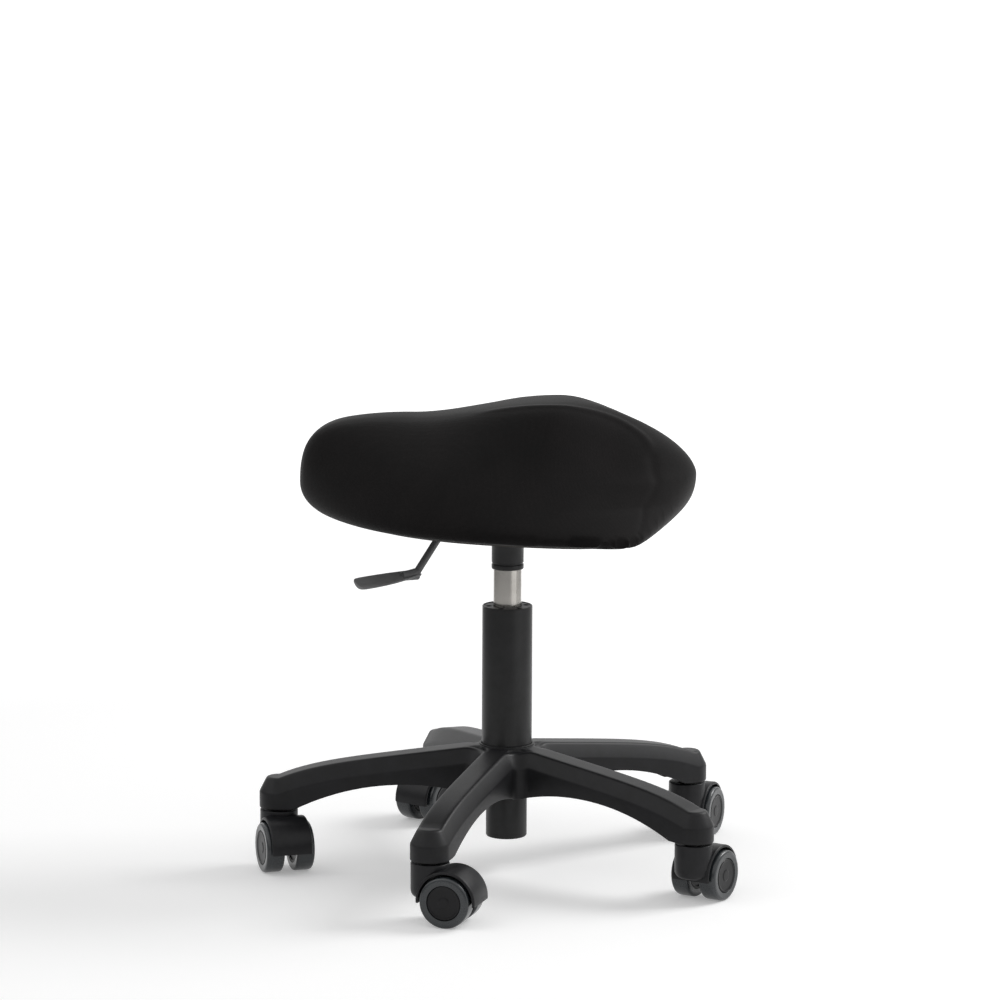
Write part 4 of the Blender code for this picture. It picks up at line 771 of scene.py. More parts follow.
    def collar(self) -> Form:
        """The lip ring and the bore that holds the column, from the top skin to the bottom skin."""
        outline = rounded(
            [
                (self.lip_radius + 0.0006, self.root_z - 0.0002), (self.lip_radius, self.root_z, 0.0004),
                (self.lip_radius, self.root_z + self.lip_height, 0.0007),
                (self.bore, self.root_z + self.lip_height, 0.0005), (self.bore, self.swage_z),
                (self.neck_bore, self.neck_z), (self.neck_bore, self.hub_foot_z),
            ],
            False,
            3,
        )
        near = self.valley_steps
        wide = self.point(self.outline()[near], *self.section()[-1], 1.0)
        spread = math.atan2(wide.y, wide.x)
        bisector = math.pi / self.arms
        angles = [-bisector + (bisector - spread) * k / near for k in range(near)]
        angles += [spread * k / self.columns for k in range(-self.columns, self.columns + 1)]
        angles += [spread + (bisector - spread) * k / near for k in range(1, near + 1)]
        form = bmesh.new()
        grid = [
            [form.verts.new((r * math.cos(a), r * math.sin(a), z)) for r, z in outline] for a in angles
        ]
        for here, beside in zip(grid, grid[1:]):
            for at in range(len(outline) - 1):
                form.faces.new((here[at], here[at + 1], beside[at + 1], beside[at]))
        return form

    def hollow(self, start: float, stop: float) -> Form:
        """The pocket under an arm between two distances from the column."""
        rings = []
        for at in range(7):
            reach = start + (stop - start) * at / 6
            top = self.top(reach) - self.wall
            foot = self.foot(reach) - 0.010
            half, flat = self.half_width - self.wall, self.half_flat - self.wall * 0.6
            shoulder = top - self.bevel_down + self.wall * 0.4
            corners = [(half, foot), (half, shoulder, 0.003), (flat, top, 0.003)]
            corners += [(-flat, top, 0.003), (-half, shoulder, 0.003), (-half, foot)]
            rings.append([(reach, y, z) for y, z in rounded(corners, True, 3)])
        return lofted(rings)

    def build(self) -> None:
        """Build the base and put it in place of its node."""
        forms = []
        for index in range(self.arms):
            spin = Matrix.Rotation(self.heading(index), 4, "Z")
            forms.append(moved(merged(self.wedge(), self.collar()), spin))
        star = as_object(merged(*forms), "base_star", 2e-5)
        inner = self.hub_radius + self.wall
        length = (self.pocket_end - inner - (self.pockets - 1) * self.rib) / self.pockets
        hollows = []
        for index in range(self.arms):
            spin = Matrix.Rotation(self.heading(index), 4, "Z")
            for pocket in range(self.pockets):
                start = inner + pocket * (length + self.rib)
                hollows.append(moved(self.hollow(start, start + length), spin))
            socket = drum(self.socket_radius, self.foot_z - 0.01, self.socket_top, 24)
            hollows.append(moved(socket, spin @ Matrix.Translation((self.reach, 0.0, 0.0))))
        combined(star, (merged(*hollows), "DIFFERENCE"))
        finish_piece(star, Finishes.BASE_NYLON, "base", "base_nylon", ["base"], sharp=38.0)


@dataclass
class Castor:
    """One castor: stem, hooded housing, axle and two wheels with soft treads."""

    number: int
    heading: float
    spot: tuple[float, float]
    trail: float = 0.022
    wheel_radius: float = 0.025
    face_radius: float = 0.0172
    inner_face: float = 0.0063
    outer_face: float = 0.0247
    neck_radius: float = 0.0189
    neck_top: float = 0.059
    neck_foot: float = 0.0245
    hood_radius: float = 0.030
    hood_inner: float = 0.0275
    hood_half: float = 0.0205
    hood_edge: float = 0.0225
    web_half: float = 0.0055
    axle_radius: float = 0.003
    axle_half: float = 0.0215

    @property
    def place(self) -> Matrix:
        """From the stem's own frame, with the trail along +X, to the row's."""
        return Matrix.Translation((*self.spot, 0.0)) @ about_z(self.heading)

    @property
    def body(self) -> str:
        """The body that the housing and the axle ride on."""
        return f"castor_{self.number}"

    @property
    def axle_frame(self) -> Matrix:
        """From a frame with the axle along Z to the stem's own."""
        centre = Matrix.Translation((self.trail, 0.0, self.wheel_radius))
        return centre @ Matrix.Rotation(math.radians(-90.0), 4, "X")

    def name(self, part: str) -> str:
        """A piece's name."""
        return f"castor_{self.number}_{part}"

    def stem(self) -> None:
        """The bright steel stem with its flange, grip ring groove and rounded ends."""
        outline = [
            (0.0, 0.0827), (0.0055, 0.0827, 0.0009), (0.0055, 0.0790), (0.0048, 0.0787), (0.0048, 0.0770),
            (0.0055, 0.0767), (0.0055, 0.0609, 0.0003), (0.0085, 0.0609, 0.0004), (0.0085, 0.0593, 0.0004),
            (0.0040, 0.0593, 0.0002), (0.0040, 0.0330, 0.0006), (0.0, 0.0330),
        ]
        made = as_object(turned(outline, 32), self.name("stem_pin"))
        spot = Matrix.Translation((*self.spot, 0.0))
        finish_piece(made, Finishes.ZINC_STEEL, "base", "bare_steel", [self.name("stem")], spot)

    def housing(self) -> None:
        """The neck, hood and web in one moulding, with soft edges."""
        neck_line = [
            (0.0, self.neck_top), (0.0075, self.neck_top, 0.0004),
            (self.neck_radius, self.neck_top, 0.0014), (self.neck_radius, self.neck_foot, 0.0085),
            (0.0, self.neck_foot),
        ]
        neck = as_object(turned(neck_line, 64, corner=7), self.name("hood_form"))
        half, round_edge = self.hood_half, 0.0016
        hood_line = [
            (0.0, half), (self.hood_radius, half, round_edge), (self.hood_radius, -half, round_edge),
            (0.0, -half),
        ]
        hood = moved(turned(hood_line, 96), self.axle_frame)
        past = self.hood_radius + 0.010
        low = (self.trail - past, -past, -0.010)
        under = block(low, (self.trail + past, past, self.hood_edge))
        rooms = []
        for side in (-1.0, 1.0):
            ends = sorted((side * self.web_half, side * (half + 0.010)))
            rooms.append(moved(drum(self.hood_inner, ends[0], ends[1], 96), self.axle_frame))
        boss = moved(drum(0.0058, -self.web_half, self.web_half, 32), self.axle_frame)
        bore = moved(drum(self.axle_radius + FIT, -0.04, 0.04, 32), self.axle_frame)
        socket = drum(0.0043, 0.0327, self.neck_top + 0.01, 32)
        combined(
            neck,
            (hood, "UNION"), (under, "DIFFERENCE"), (merged(*rooms), "DIFFERENCE"), (boss, "UNION"),
            (merged(bore, socket), "DIFFERENCE"),
        )
        look = (Finishes.CASTOR_NYLON, self.body, "castor_nylon", [self.name("housing")])
        finish_piece(neck, *look, self.place, 0.0004, 30.0)

    def axle(self) -> None:
        """The steel axle."""
        outline = [
            (0.0, self.axle_half), (self.axle_radius, self.axle_half, 0.0005),
            (self.axle_radius, -self.axle_half, 0.0005), (0.0, -self.axle_half),
        ]
        made = as_object(moved(turned(outline, 24), self.axle_frame), self.name("axle_pin"))
        look = (Finishes.ZINC_STEEL, self.body, "bare_steel", [self.name("axle")])
        finish_piece(made, *look, self.place)

    def wheel(self, side: str) -> None:
        """A wheel's core, with its domed face, rim and hub, and its soft tread."""
        turn = self.axle_frame
        if side == "right":
            turn = turn @ Matrix.Rotation(math.pi, 4, "X")
        rim = self.face_radius - 0.0002
        face = self.outer_face
        core = [
            (0.0, face - 0.0004), (0.0048, face - 0.0004, 0.0008), (0.0062, face - 0.0009, 0.0008),
            (rim - 0.0030, face - 0.0007, 0.0012), (rim - 0.0012, face, 0.0008),
            (rim, face - 0.0012, 0.0006), (rim, self.inner_face + 0.0008, 0.0006),
            (rim - 0.0020, self.inner_face + 0.0006, 0.0006),
            (rim - 0.0026, self.inner_face + 0.0020, 0.0010), (0.0082, self.inner_face + 0.0020, 0.0010),
            (0.0076, self.inner_face, 0.0005), (self.axle_radius + FIT, self.inner_face, 0.0003),
            (self.axle_radius + FIT, self.axle_half + FIT), (0.0, self.axle_half + FIT),
        ]
        made = as_object(moved(turned(core, 64), turn), self.name(f"hub_{side}"))
        body = f"wheel_{self.number}_{side}"
        replaced = [self.name(f"wheel_{side}")]
        finish_piece(made, Finishes.WHEEL_NYLON, body, "wheel_nylon", replaced, self.place)
        crown = self.wheel_radius
        tread = [
            (self.face_radius, self.inner_face + 0.0004, 0.0003), (crown, self.inner_face, 0.0026),
            (crown, face + 0.0003, 0.0098), (self.face_radius, face - 0.0003, 0.0004),
        ]
        made = as_object(moved(turned(tread, 80, True, 9), turn), self.name(f"tyre_{side}"))
        replaced = [self.name(f"tread_{side}")]
        finish_piece(made, Finishes.TREAD, body, "tread_grey", replaced, self.place)

    def build(self) -> None:
        """Build every piece of the castor."""
        self.stem()
        self.housing()
        self.axle()
        self.wheel("left")
        self.wheel("right")


@dataclass
class Column:
    """The outer tube and bush, the thrust bearing and the gas spring inside."""

    tube_radius: float = 0.025
    tube_wall: float = 0.0018
    tube_top: float = 0.268
    neck_radius: float = 0.0205
    neck_z: float = 0.086
    swage_z: float = 0.108
    foot_z: float = 0.033
    cylinder_radius: float = 0.014
    cylinder_foot: float = 0.098
    cylinder_top: float = 0.3392

    def piece(
        self, name: str, node: str, outline: list[tuple], look: tuple, closed: bool, steps: int
    ) -> None:
        """Turn one piece of the column and put it in place of its node.

        Args:
            name: The piece's name.
            node: The node it stands for.
            outline: Its outline.
            look: Its finish, body and slot.
            closed: True if it doesn't touch the axis.
            steps: Segments round the axis.
        """
        finish, body, slot = look
        finish_piece(as_object(turned(outline, steps, closed), name), finish, body, slot, [node])

    def tube(self) -> None:
        """The coated tube: rolled top edge, long swage into the hub, and a floor near its foot."""
        inner, neck = self.tube_radius - self.tube_wall, self.neck_radius - self.tube_wall
        outline = [
            (inner, self.tube_top, 0.0006), (self.tube_radius, self.tube_top, 0.0011),
            (self.tube_radius, self.swage_z, 0.004), (self.neck_radius, self.neck_z, 0.004),
            (self.neck_radius, self.foot_z, 0.0042), (0.0160, self.foot_z, 0.0006), (0.0160, 0.037),
            (0.0044, 0.037), (0.0044, 0.040), (neck, 0.040), (neck, self.neck_z), (inner, self.swage_z),
        ]
        look = (Finishes.POWDER_COAT, "base", "black_coat")
        self.piece("column_sleeve", "column_tube", outline, look, True, 96)

    def bush(self) -> None:
        """The guide bush, with the notches that show in the tube's mouth."""
        top, foot, outer, bore = 0.2675, 0.1875, 0.0229, 0.0144
        outline = [
            (bore, top, 0.0005), (outer, top, 0.0004), (outer, 0.2555), (0.0217, 0.2543), (0.0217, 0.2007),
            (outer, 0.1995), (outer, foot, 0.0006), (bore, foot, 0.0005),
        ]
        made = as_object(turned(outline, 72, True), "bush_liner")
        notches = []
        for index in range(6):
            spin = Matrix.Rotation(math.tau * (index + 0.5) / 6, 4, "Z")
            notch = drum(0.003, top - 0.006, top + 0.01, 16)
            notches.append(moved(notch, spin @ Matrix.Translation((0.01865, 0.0, 0.0))))
        combined(made, (merged(*notches), "DIFFERENCE"))
        finish_piece(made, Finishes.BUSH, "base", "bush_plastic", ["guide_bush"], edge=0.0002)

    def bearing(self) -> None:
        """The clip, washers, ball cage and bump stop round the rod's foot."""
        steel = (Finishes.ZINC_STEEL, "spindle", "bare_steel")
        held = (Finishes.ZINC_STEEL, "base", "bare_steel")
        rings = (
            ("clip_ring", "retaining_clip", 0.0035, 0.0075, 0.0355, 0.0367, steel, 0.0002),
            ("washer_low", "bearing_washer_lower", 0.0044, 0.0130, 0.0403, 0.0423, held, 0.0003),
            ("washer_high", "bearing_washer_upper", 0.0044, 0.0130, 0.0459, 0.0479, steel, 0.0003),
        )
        for name, node, inner, outer, foot, top, look, edge in rings:
            outline = [(inner, top, edge), (outer, top, edge), (outer, foot, edge), (inner, foot, edge)]
            self.piece(name, node, outline, look, True, 40)
        cage = [(0.0044, 0.0456), (0.0115, 0.0456, 0.0003), (0.0115, 0.0426, 0.0003), (0.0044, 0.0426)]
        made = as_object(turned(cage, 48, True), "ball_ring")
        balls = []
        for index in range(9):
            ball = bmesh.new()
            bmesh.ops.create_uvsphere(ball, u_segments=12, v_segments=8, radius=0.00155)
            spin = Matrix.Rotation(math.tau * index / 9, 4, "Z")
            balls.append(moved(ball, spin @ Matrix.Translation((0.0088, 0.0, 0.0441))))
        combined(made, (merged(*balls), "UNION"))
        finish_piece(made, *held, ["ball_cage"])
        bumper = [
            (0.0053, 0.0607, 0.0006), (0.0105, 0.0607, 0.0016), (0.0092, 0.0545, 0.0016),
            (0.0105, 0.0482, 0.0016), (0.0053, 0.0482, 0.0006),
        ]
        look = (Finishes.BUMP_RUBBER, "spindle", "bump_rubber")
        self.piece("bumper_ring", "bump_stop", bumper, look, True, 40)

    def spring(self) -> None:
        """The rod, piston, cylinder and valve button."""
        steel = (Finishes.GROUND_STEEL, "spindle", "bare_steel")
        rod = [
            (0.0, 0.2100), (0.0035, 0.2100, 0.0004), (0.0035, 0.1967), (0.0050, 0.1967, 0.0003),
            (0.0050, 0.0482, 0.0003), (0.0040, 0.0482), (0.0040, 0.0370), (0.0032, 0.0370),
            (0.0032, 0.0352), (0.0040, 0.0352), (0.0040, 0.0340, 0.0004), (0.0, 0.0340),
        ]
        self.piece("spring_rod", "piston_rod", rod, steel, False, 40)
        piston = [
            (0.0038, 0.2090, 0.0003), (0.0122, 0.2090, 0.0005), (0.0122, 0.2060), (0.0115, 0.2055),
            (0.0115, 0.2005), (0.0122, 0.2000), (0.0122, 0.1970, 0.0005), (0.0038, 0.1970, 0.0003),
        ]
        self.piece("piston_ring", "piston", piston, (Finishes.BUSH, "spindle", "bush_plastic"), True, 48)
        radius, foot, top = self.cylinder_radius, self.cylinder_foot, self.cylinder_top
        cylinder = [
            (0.0029, top, 0.0003), (0.0128, top, 0.0008), (radius, 0.309, 0.01), (radius, foot, 0.0010),
            (0.0054, foot, 0.0004), (0.0054, foot + 0.012), (radius - 0.0014, foot + 0.012),
            (radius - 0.0014, 0.300), (0.0029, 0.300),
        ]
        look = (Finishes.GROUND_STEEL, "seat", "bare_steel")
        self.piece("spring_cylinder", "gas_cylinder", cylinder, look, True, 80)
        button = [(0.0, 0.3422), (0.0025, 0.3422, 0.0006), (0.0025, 0.3122, 0.0003), (0.0, 0.3122)]
        look = (Finishes.ZINC_STEEL, "valve", "bare_steel")
        self.piece("valve_pin", "valve_button", button, look, False, 24)

    def build(self) -> None:
        """Build every piece of the column."""
        self.tube()
        self.bush()
        self.bearing()
        self.spring()


@dataclass
class SeatPlate:
    """The pressed plate with its sleeve, ears, pivot pin and bolts, and the lever."""

    heading: float
    lever_heading: float
    flange_z: float = 0.3517
    floor_z: float = 0.3385
    sheet: float = 0.0025
    length: float = 0.190
    width: float = 0.150
    pan_length: float = 0.120
    pan_width: float = 0.096
    slope: float = 0.008
    sleeve_radius: float = 0.016
    sleeve_foot: float = 0.305
    lever_z: float = 0.3462
    pivot: float = 0.048
    bend: float = 0.078
    low: float = 0.1065
    low_z: float = 0.3095
    rod_radius: float = 0.0037
    paddle_length: float = 0.070
    paddle_width: float = 0.026
    paddle_thickness: float = 0.0032
    paddle_drop: float = 0.004
    paddle_roll: float = -12.5
    blade_drop: float = 0.0072
    blade_length: float = 0.0675

    @property
    def place(self) -> Matrix:
        """From the seat's own frame to the row's."""
        return about_z(self.heading)

    @property
    def lever_frame(self) -> Matrix:
        """From the lever's frame, with +X outwards from the column, to the row's."""
        return about_z(self.lever_heading)

    @property
    def pin_frame(self) -> Matrix:
        """From a frame with the pivot pin along Z to the lever's own."""
        spot = Matrix.Translation((self.pivot, 0.0, self.lever_z))
        return spot @ Matrix.Rotation(math.pi / 2.0, 4, "X")

    def rectangle(self, length: float, width: float, corner: float, height: float) -> list[tuple]:
        """A rounded rectangle's points at a height, its length along Y."""
        x, y = width / 2.0, length / 2.0
        corners = [(x, -y, corner), (x, y, corner), (-x, y, corner), (-x, -y, corner)]
        return [(u, v, height) for u, v in rounded(corners, True, 6)]

    def plate(self) -> None:
        """The plate: a flange round a shallow pan, pressed from one sheet."""
        length, width = self.pan_length - 2.0 * self.slope, self.pan_width - 2.0 * self.slope
        skin = lofted(
            [
                self.rectangle(self.length, self.width, 0.012, self.flange_z),
                self.rectangle(self.pan_length + 0.004, self.pan_width + 0.004, 0.013, self.flange_z),
                self.rectangle(self.pan_length, self.pan_width, 0.012, self.flange_z - 0.0012),
                self.rectangle(length + 0.003, width + 0.003, 0.009, self.floor_z + 0.0012),
                self.rectangle(length, width, 0.008, self.floor_z),
            ],
            capped=False,
        )
        low = self.floor_z + 0.0005
        last = [edge for edge in skin.edges if edge.is_boundary and edge.verts[0].co.z < low]
        bmesh.ops.contextual_create(skin, geom=last)
        made = as_object(skin, "seat_pan")
        shell = made.modifiers.new("Sheet", "SOLIDIFY")
        shell.thickness = self.sheet
        up = made.data.polygons[len(made.data.polygons) - 1].normal.z > 0.0
        shell.offset = -1.0 if up else 1.0
        shell.use_even_offset = True
        baked(made)
        tools = [(self.sleeve(), "UNION")]
        spin = self.place.inverted() @ self.lever_frame
        for side in (-1.0, 1.0):
            ends = sorted((side * 0.0048, side * 0.0073))
            corner = (self.pivot - 0.005, ends[0], self.floor_z - 0.001)
            ear = block(corner, (self.pivot + 0.005, ends[1], 0.35015), 0.0004)
            tools.append((moved(ear, spin), "UNION"))
        bore = [(0.0, 0.3485), (0.0131, 0.3485), (0.0131, 0.3392)]
        bore += [(0.0143, 0.309), (0.0143, 0.295), (0.0, 0.295)]
        tools.append((turned(bore, 64), "DIFFERENCE"))
        slot = moved(block((0.054, -0.0062, self.floor_z + 0.001), (0.092, 0.0062, 0.362)), spin)
        pin_hole = moved(drum(PIVOT_HOLE_RADIUS, -0.019, 0.019, 20), spin @ self.pin_frame)
        holes = [moved(drum(BOLT_HOLE_RADIUS, 0.342, 0.362, 20), spot) for spot in bolt_places()]
        tools.append((slot, "DIFFERENCE"))
        tools.append((merged(pin_hole, *holes), "DIFFERENCE"))
        combined(made, *tools)
        look = (Finishes.POWDER_COAT, "seat", "black_coat", ["mechanism_plate"])
        finish_piece(made, *look, self.place, 0.0002, 30.0)

    def sleeve(self) -> Form:
        """The sleeve that sits on the cylinder's taper, with the groove over its foot ring."""
        radius, foot = self.sleeve_radius, self.sleeve_foot
        return turned(
            [
                (0.0, self.floor_z - 0.0005), (radius, self.floor_z - 0.0005),
                (radius, foot + 0.0068, 0.0003), (radius - 0.0009, foot + 0.0064, 0.0003),
                (radius - 0.0009, foot + 0.0052, 0.0003), (radius, foot + 0.0048, 0.0005),
                (radius, foot, 0.0013), (0.0, foot),
            ],
            80,
        )

    def bolts(self) -> None:
        """The socket-headed bolts that hold the plate to the board."""
        outline = [
            (0.0, 0.3604), (0.0030, 0.3604, 0.0004), (0.0030, 0.3489), (0.0058, 0.3489, 0.0003),
            (0.0058, 0.34764, 0.0006), (0.0042, 0.3453, 0.0008), (0.0023, 0.3453, 0.0002), (0.0023, 0.3473),
            (0.0, 0.3473),
        ]
        for number, spot in enumerate(bolt_places(), 1):
            made = as_object(turned(outline, 24), f"pan_bolt_{number}")
            look = (Finishes.ZINC_STEEL, "seat", "bare_steel", [f"plate_bolt_{number}"])
            finish_piece(made, *look, self.place @ spot)

    def path(self) -> list[Vector]:
        """The lever rod's centre line, from inside the column's axis out to the paddle."""
        drop = self.paddle_drop / self.paddle_length
        corners = [
            (-0.004, self.lever_z), (self.bend, self.lever_z, 0.008), (self.low, self.low_z, 0.008),
            (self.low + 0.016, self.low_z - drop * 0.016),
        ]
        return [Vector((u, 0.0, v)) for u, v in rounded(corners, False, 8)]

    def rod(self) -> None:
        """The bent rod with its flattened yoke on the pivot pin."""
        curve = bpy.data.curves.new("rod_line", "CURVE")
        curve.dimensions = "3D"
        curve.bevel_depth = self.rod_radius
        curve.bevel_resolution = 6
        curve.use_fill_caps = True
        points = self.path()
        line = curve.splines.new("POLY")
        line.points.add(len(points) - 1)
        for corner, spot in zip(line.points, points):
            corner.co = (*spot, 1.0)
        wire = linked("rod_line", curve)
        graph = bpy.context.evaluated_depsgraph_get()
        graph.update()
        form = bmesh.new()
        mesh = bpy.data.meshes.new_from_object(wire.evaluated_get(graph))
        form.from_mesh(mesh)
        bpy.data.meshes.remove(mesh)
        bpy.data.objects.remove(wire, do_unlink=True)
        made = as_object(form, "lever_bar", 1e-5)
        yoke = block(
            (self.pivot - 0.006, -0.0045, self.lever_z - 0.0045),
            (self.pivot + 0.006, 0.0045, self.lever_z + 0.0045),
            0.0008,
        )
        hole = moved(drum(PIVOT_HOLE_RADIUS, -0.02, 0.02, 20), self.pin_frame)
        combined(made, (yoke, "UNION"), (hole, "DIFFERENCE"))
        finish_piece(made, Finishes.SATIN_COAT, "lever", "black_coat", ["lever_rod"], self.lever_frame)
        pin = [(0.0, 0.0079), (0.00175, 0.0079, 0.0004), (0.00175, -0.0079, 0.0004), (0.0, -0.0079)]
        made = as_object(moved(turned(pin, 20), self.pin_frame), "pivot_pin")
        look = (Finishes.ZINC_STEEL, "seat", "bare_steel", ["lever_pivot_pin"])
        finish_piece(made, *look, self.lever_frame)

    def paddle(self) -> None:
        """The moulded paddle: a thin dished blade that grows out of a round boss."""
        start = Vector((self.low - 0.003, 0.0, self.low_z))
        spread = [(0.0, 0.46), (0.04, 0.50), (0.12, 0.60), (0.25, 0.73), (0.42, 0.87), (0.6, 0.96)]
        spread += [(0.76, 1.0), (0.88, 1.0), (0.95, 0.97), (0.985, 0.88), (1.0, 0.72)]
        rings = []
        for along, share in spread:
            half = self.paddle_width * share / 2.0
            middle = -self.blade_drop * along - 0.001 * math.sin(math.pi * along)
            ring = []
            for at in range(20):
                turn = math.tau * at / 20
                y = math.copysign(abs(math.cos(turn)) ** 0.8, math.cos(turn))
                z = math.copysign(abs(math.sin(turn)) ** 0.6, math.sin(turn))
                dish = 0.0032 * share * y * y
                height = middle + dish + z * self.paddle_thickness / 2.0
                ring.append((along * self.blade_length, y * half, height))
            rings.append(ring)
        roll = Matrix.Translation(start) @ Matrix.Rotation(math.radians(self.paddle_roll), 4, "X")
        made = as_object(moved(lofted(rings), roll), "lever_grip")
        fall = math.atan2(self.paddle_drop, self.paddle_length)
        tilt = Matrix.Rotation(math.pi / 2.0 + fall, 4, "Y")
        boss = turned([(0.0, 0.0180), (0.0044, 0.0180, 0.003), (0.0060, 0.0, 0.0008), (0.0, 0.0)], 32)
        mouth = Matrix.Translation(start + Vector((0.001, 0.0, 0.0)))
        rings = []
        path = self.path()[-9:]
        for here, spot in enumerate(path):
            ahead = (path[min(here + 1, 8)] - path[max(here - 1, 0)]).normalized()
            up = Vector((-ahead.z, 0.0, ahead.x))
            centre = spot + ahead * (FIT if here == 8 else 0.0)
            angles = [math.tau * at / 20 for at in range(20)]
            aside = Vector((0.0, self.rod_radius + FIT, 0.0))
            up = up * aside.y
            rings.append([centre + math.cos(a) * aside + math.sin(a) * up for a in angles])
        combined(made, (moved(boss, mouth @ tilt), "UNION"), (lofted(rings), "DIFFERENCE"))
        look = (Finishes.LEVER, "lever", "lever_plastic", ["lever_handle"])
        finish_piece(made, *look, self.lever_frame, sharp=50.0)

    def build(self) -> None:
        """Build the plate, bolts and lever."""
        self.plate()
        self.bolts()
        self.rod()
        self.paddle()


